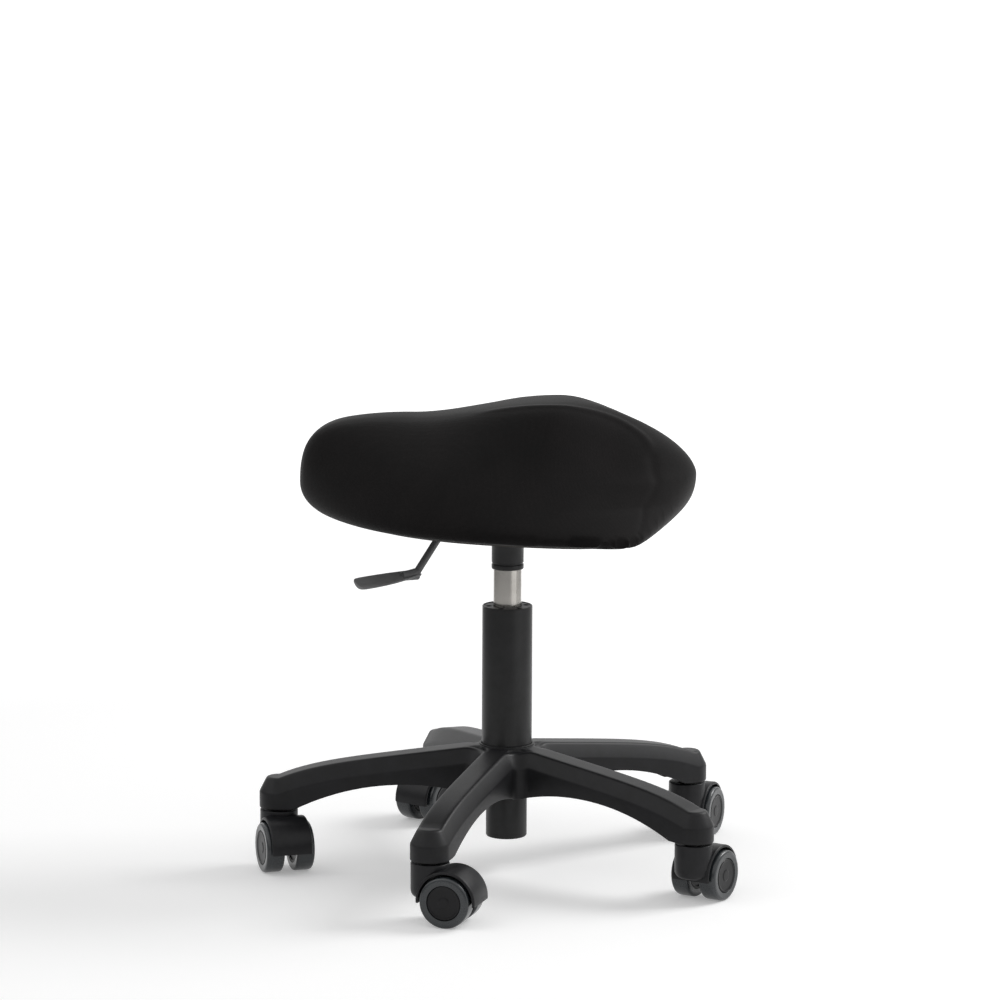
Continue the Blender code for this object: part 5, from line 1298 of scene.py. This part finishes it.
@dataclass
class SaddleForm:
    """The saddle's form in the seat's own frame, nose towards -Y, heights above its base."""

    base_z: float = 0.352
    nose_y: float = -0.2164
    rear_y: float = 0.1937
    half_width: float = 0.1659
    widest_y: float = 0.1408
    taper_power: float = 3.64
    tip_round: float = 0.033
    belly: float = 0.0354
    side_tuck: float = 0.0326
    rear_belly: float = 0.0554
    rear_tuck: float = 0.0367
    rear_bow: float = 0.0380
    bow_top: float = 0.1004
    bow_bottom: float = 0.0604
    bow_kept: float = 0.20
    crest_fall: float = 1.52
    peak: float = 0.1322
    peak_y: float = 0.0524
    dip: float = 0.1113
    dip_y: float = -0.0999
    nose: float = 0.1016
    rear_roll_y: float = 0.0555
    rear_roll_power: float = 1.43
    nose_roll_length: float = 0.0572
    nose_roll_height: float = 0.0656
    nose_roll_power: float = 2.3
    rim: float = 0.0088
    crest_half: float = 0.0398
    crest_nose_half: float = 0.0199
    crest_pinch: float = 0.0310
    rear_hollow: float = 0.0130
    front_swell: float = 0.0157
    softness: float = 0.0088
    top_softness: float = 0.0064
    corner_softness: float = 0.018
    blend_softness: float = 0.002
    base_rear_y: float = 0.1502
    base_bow: float = 0.004
    base_softness: float = 0.019
    dip_fade: float = 0.080
    crest_fade: float = 0.200
    crest_share: float = 0.8
    pinch_ahead: float = 0.005
    pinch_fade: float = 0.075
    swell_start_y: float = 0.080
    swell_fade: float = 0.160
    least_width: float = 0.012
    bow_limit: float = 1.7
    corner_height: float = 0.085
    corner_fade: float = 0.05
    plan_floor: float = 0.1
    search: float = 0.4

    @staticmethod
    def larger(fields: list[Array], softness: float) -> Array:
        """The larger of several fields, with the change between them rounded."""
        stack = np.array(fields)
        largest = stack.max(axis=0)
        return largest + softness * np.log(np.exp((stack - largest) / softness).sum(axis=0))

    def ahead(self, y: Array) -> Array:
        """How far a place lies from the widest line to the nose."""
        return np.maximum((self.widest_y - y) / (self.widest_y - self.nose_y), 0.0)

    def crest(self, y: Array) -> Array:
        """Height of the crest above the base."""
        blend = np.clip((self.peak_y - y) / (self.peak_y - self.dip_y), 0.0, 1.0)
        front = self.peak + (self.dip - self.peak) * (3.0 * blend**2 - 2.0 * blend**3)
        past = np.clip((self.dip_y - y) / self.dip_fade, 0.0, 2.0)
        behind = np.maximum(y - self.peak_y, 0.0)
        return front + (self.nose - self.dip) * past**2 - self.crest_fall * behind**2

    def plan(self, x: Array, y: Array) -> Array:
        """Distance outside the outline seen from above."""
        ahead = self.ahead(y)
        hyp = np.sqrt(x**2 + self.tip_round**2)
        value = (hyp - self.tip_round) / self.half_width + ahead**self.taper_power - 1.0
        slope_x = x / hyp / self.half_width
        slope_y = self.taper_power * ahead ** (self.taper_power - 1.0) / (self.widest_y - self.nose_y)
        return value / np.sqrt(slope_x**2 + slope_y**2 + self.plan_floor)

    @staticmethod
    def eased(share: Array) -> Array:
        """A share held between 0 and 1 that leaves and arrives gently."""
        held = np.clip(share, 0.0, 1.0)
        return held * held * (3.0 - 2.0 * held)

    def base_outline(self, x: Array, y: Array) -> Array:
        """Distance outside the outline of the base."""
        rear = y - self.base_rear_y + (x / self.half_width) ** 2 * self.base_bow
        return self.larger([self.plan(x, y) + self.side_tuck, rear], self.base_softness)

    def flanks(self, y: Array, z: Array, crest: Array) -> tuple[Array, Array]:
        """Half the width between the flanks, hollow behind and full in front, and how far they lean."""
        rim = self.half_width * (1.0 - np.minimum(self.ahead(y), 1.0) ** self.taper_power)
        forward = self.eased((self.peak_y - y) / self.crest_fade)
        narrower = (self.crest_nose_half - self.crest_half) * forward
        pinched = self.eased((y - self.peak_y + self.pinch_ahead) / self.pinch_fade)
        top = self.crest_half + narrower - self.crest_pinch * pinched
        top = np.minimum(top, rim * self.crest_share)
        climb = np.clip((z - self.rim) / (crest - self.rim), -0.5, 1.5)
        full = self.eased((self.swell_start_y - y) / self.swell_fade)
        swell = -self.rear_hollow + (self.front_swell + self.rear_hollow) * full
        between = (climb > 0.0) & (climb < 1.0)
        width = rim + (top - rim) * climb + swell * 4.0 * climb * (1.0 - climb) * between
        return width, (rim - top) / (crest - self.rim)

    def faces(self, points: Array) -> list[Array]:
        """Distances outside the crest, flanks, side walls, rear roll, rear wall and nose."""
        x, y, z = points[:, 0], points[:, 1], points[:, 2] - self.base_z
        crest = self.crest(y)
        low = np.clip((self.belly - z) / self.belly, 0.0, 3.0)
        side = self.plan(x, y) + self.side_tuck * low**2
        width, lean = self.flanks(y, z, crest)
        flank = (np.abs(x) - width) / np.sqrt(1.0 + lean**2)
        width = np.maximum(width, self.least_width)
        rising = self.eased((z - self.bow_bottom) / (self.bow_top - self.bow_bottom))
        bow = self.rear_bow * (1.0 - np.minimum(low, 1.0)) * (1.0 - (1.0 - self.bow_kept) * rising)
        share = np.minimum((x / width) ** 2, self.bow_limit)
        slant = bow * 2.0 * x / width**2 * (share < self.bow_limit)
        back = y - self.rear_y + bow * share
        under = np.clip((self.rear_belly - z) / self.rear_belly, 0.0, 3.0)
        rear = (back + self.rear_tuck * under**2) / np.sqrt(1.0 + slant**2)
        length, height = self.rear_y - self.rear_roll_y, self.peak - self.rear_belly
        power = self.rear_roll_power
        along = np.maximum(back / length + 1.0, WELD)
        up = np.maximum((z - self.rear_belly) / height, WELD)
        reach = (along**power + up**power) ** (1.0 / power)
        back_rate = (along / reach) ** (power - 1.0) / length
        up_rate = (up / reach) ** (power - 1.0) / height
        roll = (reach - 1.0) / np.sqrt(back_rate**2 * (1.0 + slant**2) + up_rate**2)
        return [z - crest, flank, side, roll, rear, self.nose_roll(y, z, crest)]

    def nose_roll(self, y: Array, z: Array, crest: Array) -> Array:
        """The rounded end of the nose."""
        along = np.clip((self.nose_y + self.nose_roll_length - y) / self.nose_roll_length, 0.0, 2.0)
        up = np.clip((z - crest + self.nose_roll_height) / self.nose_roll_height, 0.0, 2.0)
        power = self.nose_roll_power
        size = min(self.nose_roll_length, self.nose_roll_height)
        return ((along**power + up**power) ** (1.0 / power) - 1.0) * size

    def field(self, points: Array) -> Array:
        """Distance outside the whole form, negative inside it."""
        top, flank, side, roll, rear, tip = self.faces(points)
        upper = self.larger([top, flank, roll, tip], self.top_softness)
        low = self.eased((self.base_z + self.corner_height - points[:, 2]) / self.corner_fade)
        soft = self.top_softness + (self.corner_softness - self.top_softness) * low
        corner = self.larger([np.maximum(flank, side), np.maximum(roll, rear)], soft)
        whole = self.larger([upper, side, rear, self.base_z - points[:, 2]], self.softness)
        return self.larger([whole, corner], self.blend_softness)

    def crease(self, points: Array) -> Array:
        """Positive on the crest, rear and nose, and negative on the flanks and side walls."""
        top, flank, side, roll, rear, tip = self.faces(points)
        return np.maximum.reduce([top, roll, rear, tip]) - np.maximum(flank, side)

    def reach(
        self, start: Array, aim: Array, value: Optional[Callable[[Array], Array]] = None
    ) -> Array:
        """Find where directions from an inner point meet a surface.

        Args:
            start: The inner point.
            aim: The directions.
            value: The surface's field; the saddle's own if it is left out.

        Returns:
            The surface points.
        """
        value = value or self.field
        near, far = np.zeros(len(aim)), np.full(len(aim), self.search)
        for _ in range(24):
            middle = (near + far) / 2.0
            outside = value(start + aim * middle[:, None]) > 0.0
            far, near = np.where(outside, middle, far), np.where(outside, near, middle)
        return start + aim * near[:, None]

    def aim(self, turn: Array, reach: Array, up: Array) -> Array:
        """Unit directions from a turn off the rear, a reach outwards and a rise."""
        behind = np.cos(turn)
        lengths = np.where(behind > 0.0, self.rear_y, -self.nose_y)
        way = np.stack([reach * np.sin(turn) * self.half_width, reach * behind * lengths, up], axis=1)
        return way / np.maximum(np.linalg.norm(way, axis=1), WELD)[:, None]

    def aims(self, cube: Array, start: Array) -> Array:
        """Spread a cube grid's corners so that its rear upright edges follow the rear creases.

        Args:
            cube: The corners of the cube, from -1 to 1.
            start: The inner point they are seen from.

        Returns:
            Unit directions.
        """
        spread = np.sin(cube * math.pi / 4.0) / math.sin(math.pi / 4.0)
        up = spread[:, 2] * self.peak / 2.0
        ring = np.maximum(np.abs(spread[:, 0]), np.abs(spread[:, 1])) * math.sqrt(2.0)
        near, far = np.full(len(cube), math.radians(8.0)), np.full(len(cube), math.radians(62.0))
        for _ in range(14):
            middle = (near + far) / 2.0
            behind = self.crease(self.reach(start, self.aim(middle, ring, up))) > 0.0
            near, far = np.where(behind, middle, near), np.where(behind, far, middle)
        corner = math.pi / 4.0
        crease = corner + (near - corner) * np.clip(ring / 0.3, 0.0, 1.0)
        turn = np.arctan2(np.abs(spread[:, 0]), spread[:, 1])
        beyond = math.pi - (math.pi - turn) * (math.pi - crease) / (math.pi - corner)
        turn = np.where(turn < corner, turn * crease / corner, beyond)
        reach = np.hypot(spread[:, 0], spread[:, 1])
        return self.aim(turn * np.where(spread[:, 0] < 0.0, -1.0, 1.0), reach, up)

    def slope(self, points: Array) -> Array:
        """The field's slope at many points."""
        step = 0.0004
        rates = [
            (self.field(points + shift) - self.field(points - shift)) / (2.0 * step)
            for shift in np.eye(3) * step
        ]
        return np.stack(rates, axis=1)


@dataclass
class Seat:
    """The upholstered saddle on its plywood board."""

    heading: float
    form: SaddleForm = field(default_factory=SaddleForm)
    cells: tuple[int, int, int] = (56, 68, 34)
    shrink: float = 0.0024
    swell_cap: float = 0.0034
    voxel: float = 0.005
    pucker: float = 0.0008
    seam_depth: float = 0.0011
    seam_width: float = 0.0027
    welt: float = 0.0013
    board_inset: float = 0.022
    board_thickness: float = 0.012
    hole_top: float = 0.3607
    pressure: float = 4.0
    stiffness: float = 25.0
    bending: float = 2.0
    last_frame: int = 20
    rounds: int = 6
    relaxing: float = 0.5
    holding: float = 0.6
    loose_from: float = 0.012
    loose_fade: float = 0.030
    welt_from: float = 0.074
    welt_fade: float = 0.016
    welt_ahead: float = 0.04
    groove_y: float = 0.08
    seam_fade: float = 0.05
    faint_groove: float = 0.12
    least_slope: float = 0.2

    @property
    def place(self) -> Matrix:
        """From the seat's own frame to the row's."""
        return about_z(self.heading)

    def skin(self, shrink: float) -> Form:
        """The saddle's closed skin, drawn in by a distance."""
        form = bmesh.new()
        bmesh.ops.create_cube(form, size=2.0)
        for axis, cells in enumerate(self.cells):
            rails = [
                edge for edge in form.edges if abs((edge.verts[0].co - edge.verts[1].co)[axis]) > 1e-5
            ]
            bmesh.ops.subdivide_edges(form, edges=rails, cuts=cells - 1, use_grid_fill=True)
        cube = np.array([corner.co[:] for corner in form.verts])
        shape = self.form
        start = np.array([0.0, 0.0, shape.base_z + shape.peak / 3.0])
        aim = shape.aims(cube, start)
        places = shape.reach(start, aim, lambda points: shape.field(points) + shrink)
        for corner, spot in zip(form.verts, places):
            corner.co = spot
        return form

    def swell(self, made: Object) -> None:
        """Press the cover out from inside as the foam does, as far as the cap allows."""
        remesh = made.modifiers.new("Even", "REMESH")
        remesh.mode = "VOXEL"
        remesh.voxel_size = self.voxel
        baked(made)
        count = len(made.data.vertices)
        before = np.empty(count * 3)
        made.data.vertices.foreach_get("co", before)
        cloth = made.modifiers.new("Cover", "CLOTH")
        settings = cloth.settings
        settings.use_pressure = True
        settings.uniform_pressure_force = self.pressure
        settings.effector_weights.gravity = 0.0
        settings.tension_stiffness = self.stiffness
        settings.compression_stiffness = self.stiffness
        settings.bending_stiffness = self.bending
        scene = bpy.context.scene
        for frame in range(1, self.last_frame + 1):
            scene.frame_set(frame)
        baked(made)
        after = np.empty(count * 3)
        made.data.vertices.foreach_get("co", after)
        move = (after - before).reshape(-1, 3)
        far = np.linalg.norm(move, axis=1)
        held = np.minimum(1.0, self.swell_cap / np.maximum(far, 1e-9))
        places = before.reshape(-1, 3) + move * held[:, None]
        made.data.vertices.foreach_set("co", places.ravel())
        scene.frame_set(1)

    def sewn(self, made: Object) -> None:
        """Refine the cover, draw it back to the form, set its seams and lay it flat on its base."""
        refine = made.modifiers.new("Refine", "SUBSURF")
        refine.levels = 1
        refine.render_levels = 1
        baked(made)
        count = len(made.data.vertices)
        spots = np.empty(count * 3)
        made.data.vertices.foreach_get("co", spots)
        spots = spots.reshape(-1, 3)
        ends = np.empty(len(made.data.edges) * 2, dtype=np.int32)
        made.data.edges.foreach_get("vertices", ends)
        first, second = ends.reshape(-1, 2).T
        shares = np.bincount(ends, minlength=count)[:, None]
        shape = self.form
        for _ in range(self.rounds):
            total = np.zeros_like(spots)
            np.add.at(total, first, spots[second])
            np.add.at(total, second, spots[first])
            spots = spots + (total / shares - spots) * self.relaxing
            away = shape.field(spots)
            above = spots[:, 2] - shape.base_z - self.loose_from
            room = shape.eased(above / self.loose_fade) * self.pucker
            held = np.clip(away * self.holding, -room, room)
            slope = shape.slope(spots)
            steep = np.maximum((slope**2).sum(axis=1), self.least_slope)
            spots = spots - slope * ((away - held) / steep)[:, None]
        slope = shape.slope(spots)
        normals = slope / np.maximum(np.linalg.norm(slope, axis=1), self.least_slope)[:, None]
        height = spots[:, 2] - shape.base_z
        line = np.exp(-((shape.crease(spots) / self.seam_width) ** 2))
        risen = shape.eased((height - self.welt_from) / self.welt_fade)
        high = risen * shape.eased((spots[:, 1] + self.welt_ahead) / self.seam_fade)
        behind = shape.eased((spots[:, 1] - self.groove_y) / self.seam_fade) * (1.0 - high)
        groove = self.seam_depth * (behind + self.faint_groove * (1.0 - high) * (1.0 - behind))
        spots = spots + normals * ((self.welt * high - groove) * line)[:, None]
        spots[:, 2] = np.maximum(spots[:, 2], shape.base_z)
        made.data.vertices.foreach_set("co", spots.ravel())
        made.data.update()

    def board_points(self, inset: float) -> list[tuple[float, float]]:
        """The board's outline, the saddle's base drawn in by an inset."""
        angles = np.linspace(0.0, math.tau, 96, endpoint=False)
        aim = np.stack([np.cos(angles), np.sin(angles)], axis=1)

        def value(places: Array) -> Array:
            return self.form.base_outline(places[:, 0], places[:, 1]) + inset

        return [tuple(spot) for spot in self.form.reach(np.zeros(2), aim, value)]

    def slab(self, inset: float, foot: float, top: float) -> Form:
        """An upright solid on the board's outline."""
        outline = self.board_points(inset)
        return lofted([[(x, y, z) for x, y in outline] for z in (foot, top)])

    def cushion(self) -> None:
        """The padded saddle in its cloth cover."""
        made = as_object(self.skin(self.shrink), "saddle_cover")
        self.swell(made)
        self.sewn(made)
        base = self.form.base_z
        recess = self.slab(self.board_inset - FIT, base - 0.01, base + self.board_thickness + FIT)
        combined(made, (recess, "DIFFERENCE"))
        look = (Finishes.CLOTH, "seat", "black_fabric", ["cushion"])
        finish_piece(made, *look, self.place, sharp=70.0)

    def board(self) -> None:
        """The plywood board, bored for the bolts."""
        base = self.form.base_z
        made = as_object(self.slab(self.board_inset, base, base + self.board_thickness), "saddle_board")
        holes = [
            moved(drum(BOLT_HOLE_RADIUS, base - 0.01, self.hole_top, 20), spot) for spot in bolt_places()
        ]
        combined(made, (merged(*holes), "DIFFERENCE"))
        finish_piece(made, Finishes.PLYWOOD, "seat", "plywood", ["seat_board"], self.place, 0.0004)

    def build(self) -> None:
        """Build the cushion and the board."""
        self.cushion()
        self.board()


@dataclass
class Studio:
    """The pale floor, the plain soft light and the camera at the photograph's angle."""

    facing: float = 80.71
    distance: float = 4.7345
    aside: float = -0.0079
    height: float = 1.184
    pitch: float = 9.71
    roll: float = 0.28
    focal: float = 4844.9
    world_light: float = 0.5
    floor_colour: str = "f2f2f2"
    near_glow: float = 0.27
    far_glow: float = 1.0
    screen_radius: float = 1.25
    screen_height: float = 0.36
    floor_half: float = 30.0
    glow_from: float = 0.9
    glow_to: float = 5.0
    aim_height: float = 0.25
    screens: tuple = ((22.0, 162.0, "8a8a8a"), (34.0, 12.0, "b6b6b6"), (140.0, 64.0, "c6c6c6"))
    lamps: tuple = (
        ("key_lamp", (2.6, 0.9, 2.4), 1.7, 70.0), ("fill_lamp", (-2.4, -1.0, 2.6), 2.4, 12.0),
    )

    def turned_to(self, right: float, away: float, up: float) -> Vector:
        """A place given as seen in the photograph, in the row frame."""
        return about_z(self.facing) @ Vector((right, away, up))

    def camera(self) -> None:
        """The camera, with a long lens well back from the stool."""
        data = bpy.data.cameras.new("studio_camera")
        data.lens = self.focal / 1000.0 * data.sensor_width
        data.clip_end = 200.0
        made = linked("studio_camera", data)
        spot = Matrix.Translation(self.turned_to(self.aside, -self.distance, self.height))
        turn = about_z(self.facing) @ Matrix.Rotation(math.radians(90.0 - self.pitch), 4, "X")
        made.matrix_world = spot @ turn @ about_z(self.roll)
        bpy.context.scene.camera = made

    def seen_white(self, tree: Tree) -> Socket:
        """1 for rays from the camera, mirrors and glass, and 0 for those that light the stool."""
        path = add(tree, "ShaderNodeLightPath")
        seen = worked(tree, "MAXIMUM", path.outputs["Is Camera Ray"], path.outputs["Is Glossy Ray"])
        return worked(tree, "MAXIMUM", seen, path.outputs["Is Transmission Ray"])

    def world(self) -> None:
        """Even white light, brighter to the camera than on the stool."""
        made = bpy.data.worlds.new("studio")
        bpy.context.scene.world = made
        made.use_nodes = True
        tree = made.node_tree
        back = tree.nodes["Background"]
        back.inputs["Color"].default_value = (1.0, 1.0, 1.0, 1.0)
        ends = {"Value": self.seen_white(tree), "To Min": self.world_light, "To Max": 1.0}
        level = add(tree, "ShaderNodeMapRange", ends).outputs["Result"]
        tree.links.new(level, back.inputs["Strength"])

    def floor(self) -> None:
        """A wide pale floor that keeps the stool's soft shadow."""
        form = bmesh.new()
        bmesh.ops.create_grid(form, x_segments=2, y_segments=2, size=self.floor_half)
        made = as_object(form, "studio_floor")
        if made.data.polygons[0].normal.z < 0.0:
            made.data.flip_normals()
        finish, shader = new_material("studio_floor")
        tree = finish.node_tree
        colour = linear(self.floor_colour)
        set_inputs(shader, {"Base Color": colour, "Roughness": 0.9, "Specular IOR Level": 0.1})
        place = add(tree, "ShaderNodeTexCoord").outputs["Object"]
        away = add(tree, "ShaderNodeVectorMath", {0: place}, operation="LENGTH").outputs["Value"]
        reach = {"Value": away, "From Min": self.glow_from, "From Max": self.glow_to}
        ends = {"To Min": self.near_glow, "To Max": self.far_glow}
        level = add(tree, "ShaderNodeMapRange", {**reach, **ends}).outputs["Result"]
        glow = worked(tree, "MULTIPLY", self.seen_white(tree), level)
        set_inputs(shader, {"Emission Color": (1.0, 1.0, 1.0, 1.0)})
        tree.links.new(glow, shader.inputs["Emission Strength"])
        made.data.materials.append(finish)

    def low_screen(self, right: float, turn: float, colour: str) -> None:
        """A low grey screen round a part of the stool, seen only in gloss as a studio's dark side is.

        Args:
            right: Its right end, in degrees to the camera's right as seen from the stool.
            turn: How far it runs on to the left of that, in degrees.
            colour: Its grey.
        """
        form = bmesh.new()
        start = about_z(self.facing - 90.0 + right)
        heights = (0.0, self.screen_height)
        ends = [form.verts.new(start @ Vector((self.screen_radius, 0.0, z))) for z in heights]
        rail = form.edges.new(ends)
        bmesh.ops.spin(
            form,
            geom=[*ends, rail],
            axis=(0.0, 0.0, 1.0),
            cent=(0.0, 0.0, 0.0),
            angle=-math.radians(turn),
            steps=24,
            use_merge=False,
        )
        made = as_object(form, "studio_low_screen")
        finish, shader = new_material("studio_low_screen")
        set_inputs(shader, {"Base Color": linear("000000"), "Specular IOR Level": 0.0})
        set_inputs(shader, {"Emission Color": linear(colour), "Emission Strength": 1.0})
        made.data.materials.append(finish)
        for rays in ("camera", "diffuse", "shadow", "transmission"):
            setattr(made, f"visible_{rays}", False)

    def lamp(self, name: str, place: tuple[float, float, float], size: float, power: float) -> None:
        """A square soft lamp that faces the stool.

        Args:
            name: The lamp's name.
            place: Where it hangs: right, away and up, as seen in the photograph.
            size: Its side.
            power: Its power in watts.
        """
        data = bpy.data.lights.new(name, "AREA")
        data.size = size
        data.energy = power
        made = linked(name, data)
        spot = self.turned_to(*place)
        made.location = spot
        aim = Vector((0.0, 0.0, self.aim_height)) - spot
        made.rotation_euler = aim.to_track_quat("-Z", "Y").to_euler()

    def build(self) -> None:
        """Set the camera, the light and the floor, and the view's plain transform."""
        bpy.context.scene.view_settings.view_transform = "Standard"
        self.camera()
        self.world()
        self.floor()
        for screen in self.screens:
            self.low_screen(*screen)
        for lamp in self.lamps:
            self.lamp(*lamp)


def corners(box: tuple) -> list[list[float]]:
    """A box's two corners as plain lists of numbers."""
    return [[float(value) for value in corner] for corner in box]


def main() -> None:
    """Build the studio and every sub-assembly."""
    logging.basicConfig(level=logging.INFO, format="%(message)s")
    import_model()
    Studio().build()
    star = StarBase()
    star.build()
    for index, heading in enumerate(CASTOR_HEADINGS):
        turn = star.heading(index)
        spot = (star.reach * math.cos(turn), star.reach * math.sin(turn))
        Castor(index + 1, heading, spot).build()
    Column().build()
    SeatPlate(NOSE_HEADING + 90.0, NOSE_HEADING + LEVER_AHEAD).build()
    Seat(NOSE_HEADING + 90.0).build()


if __name__ == "__main__":
    main()
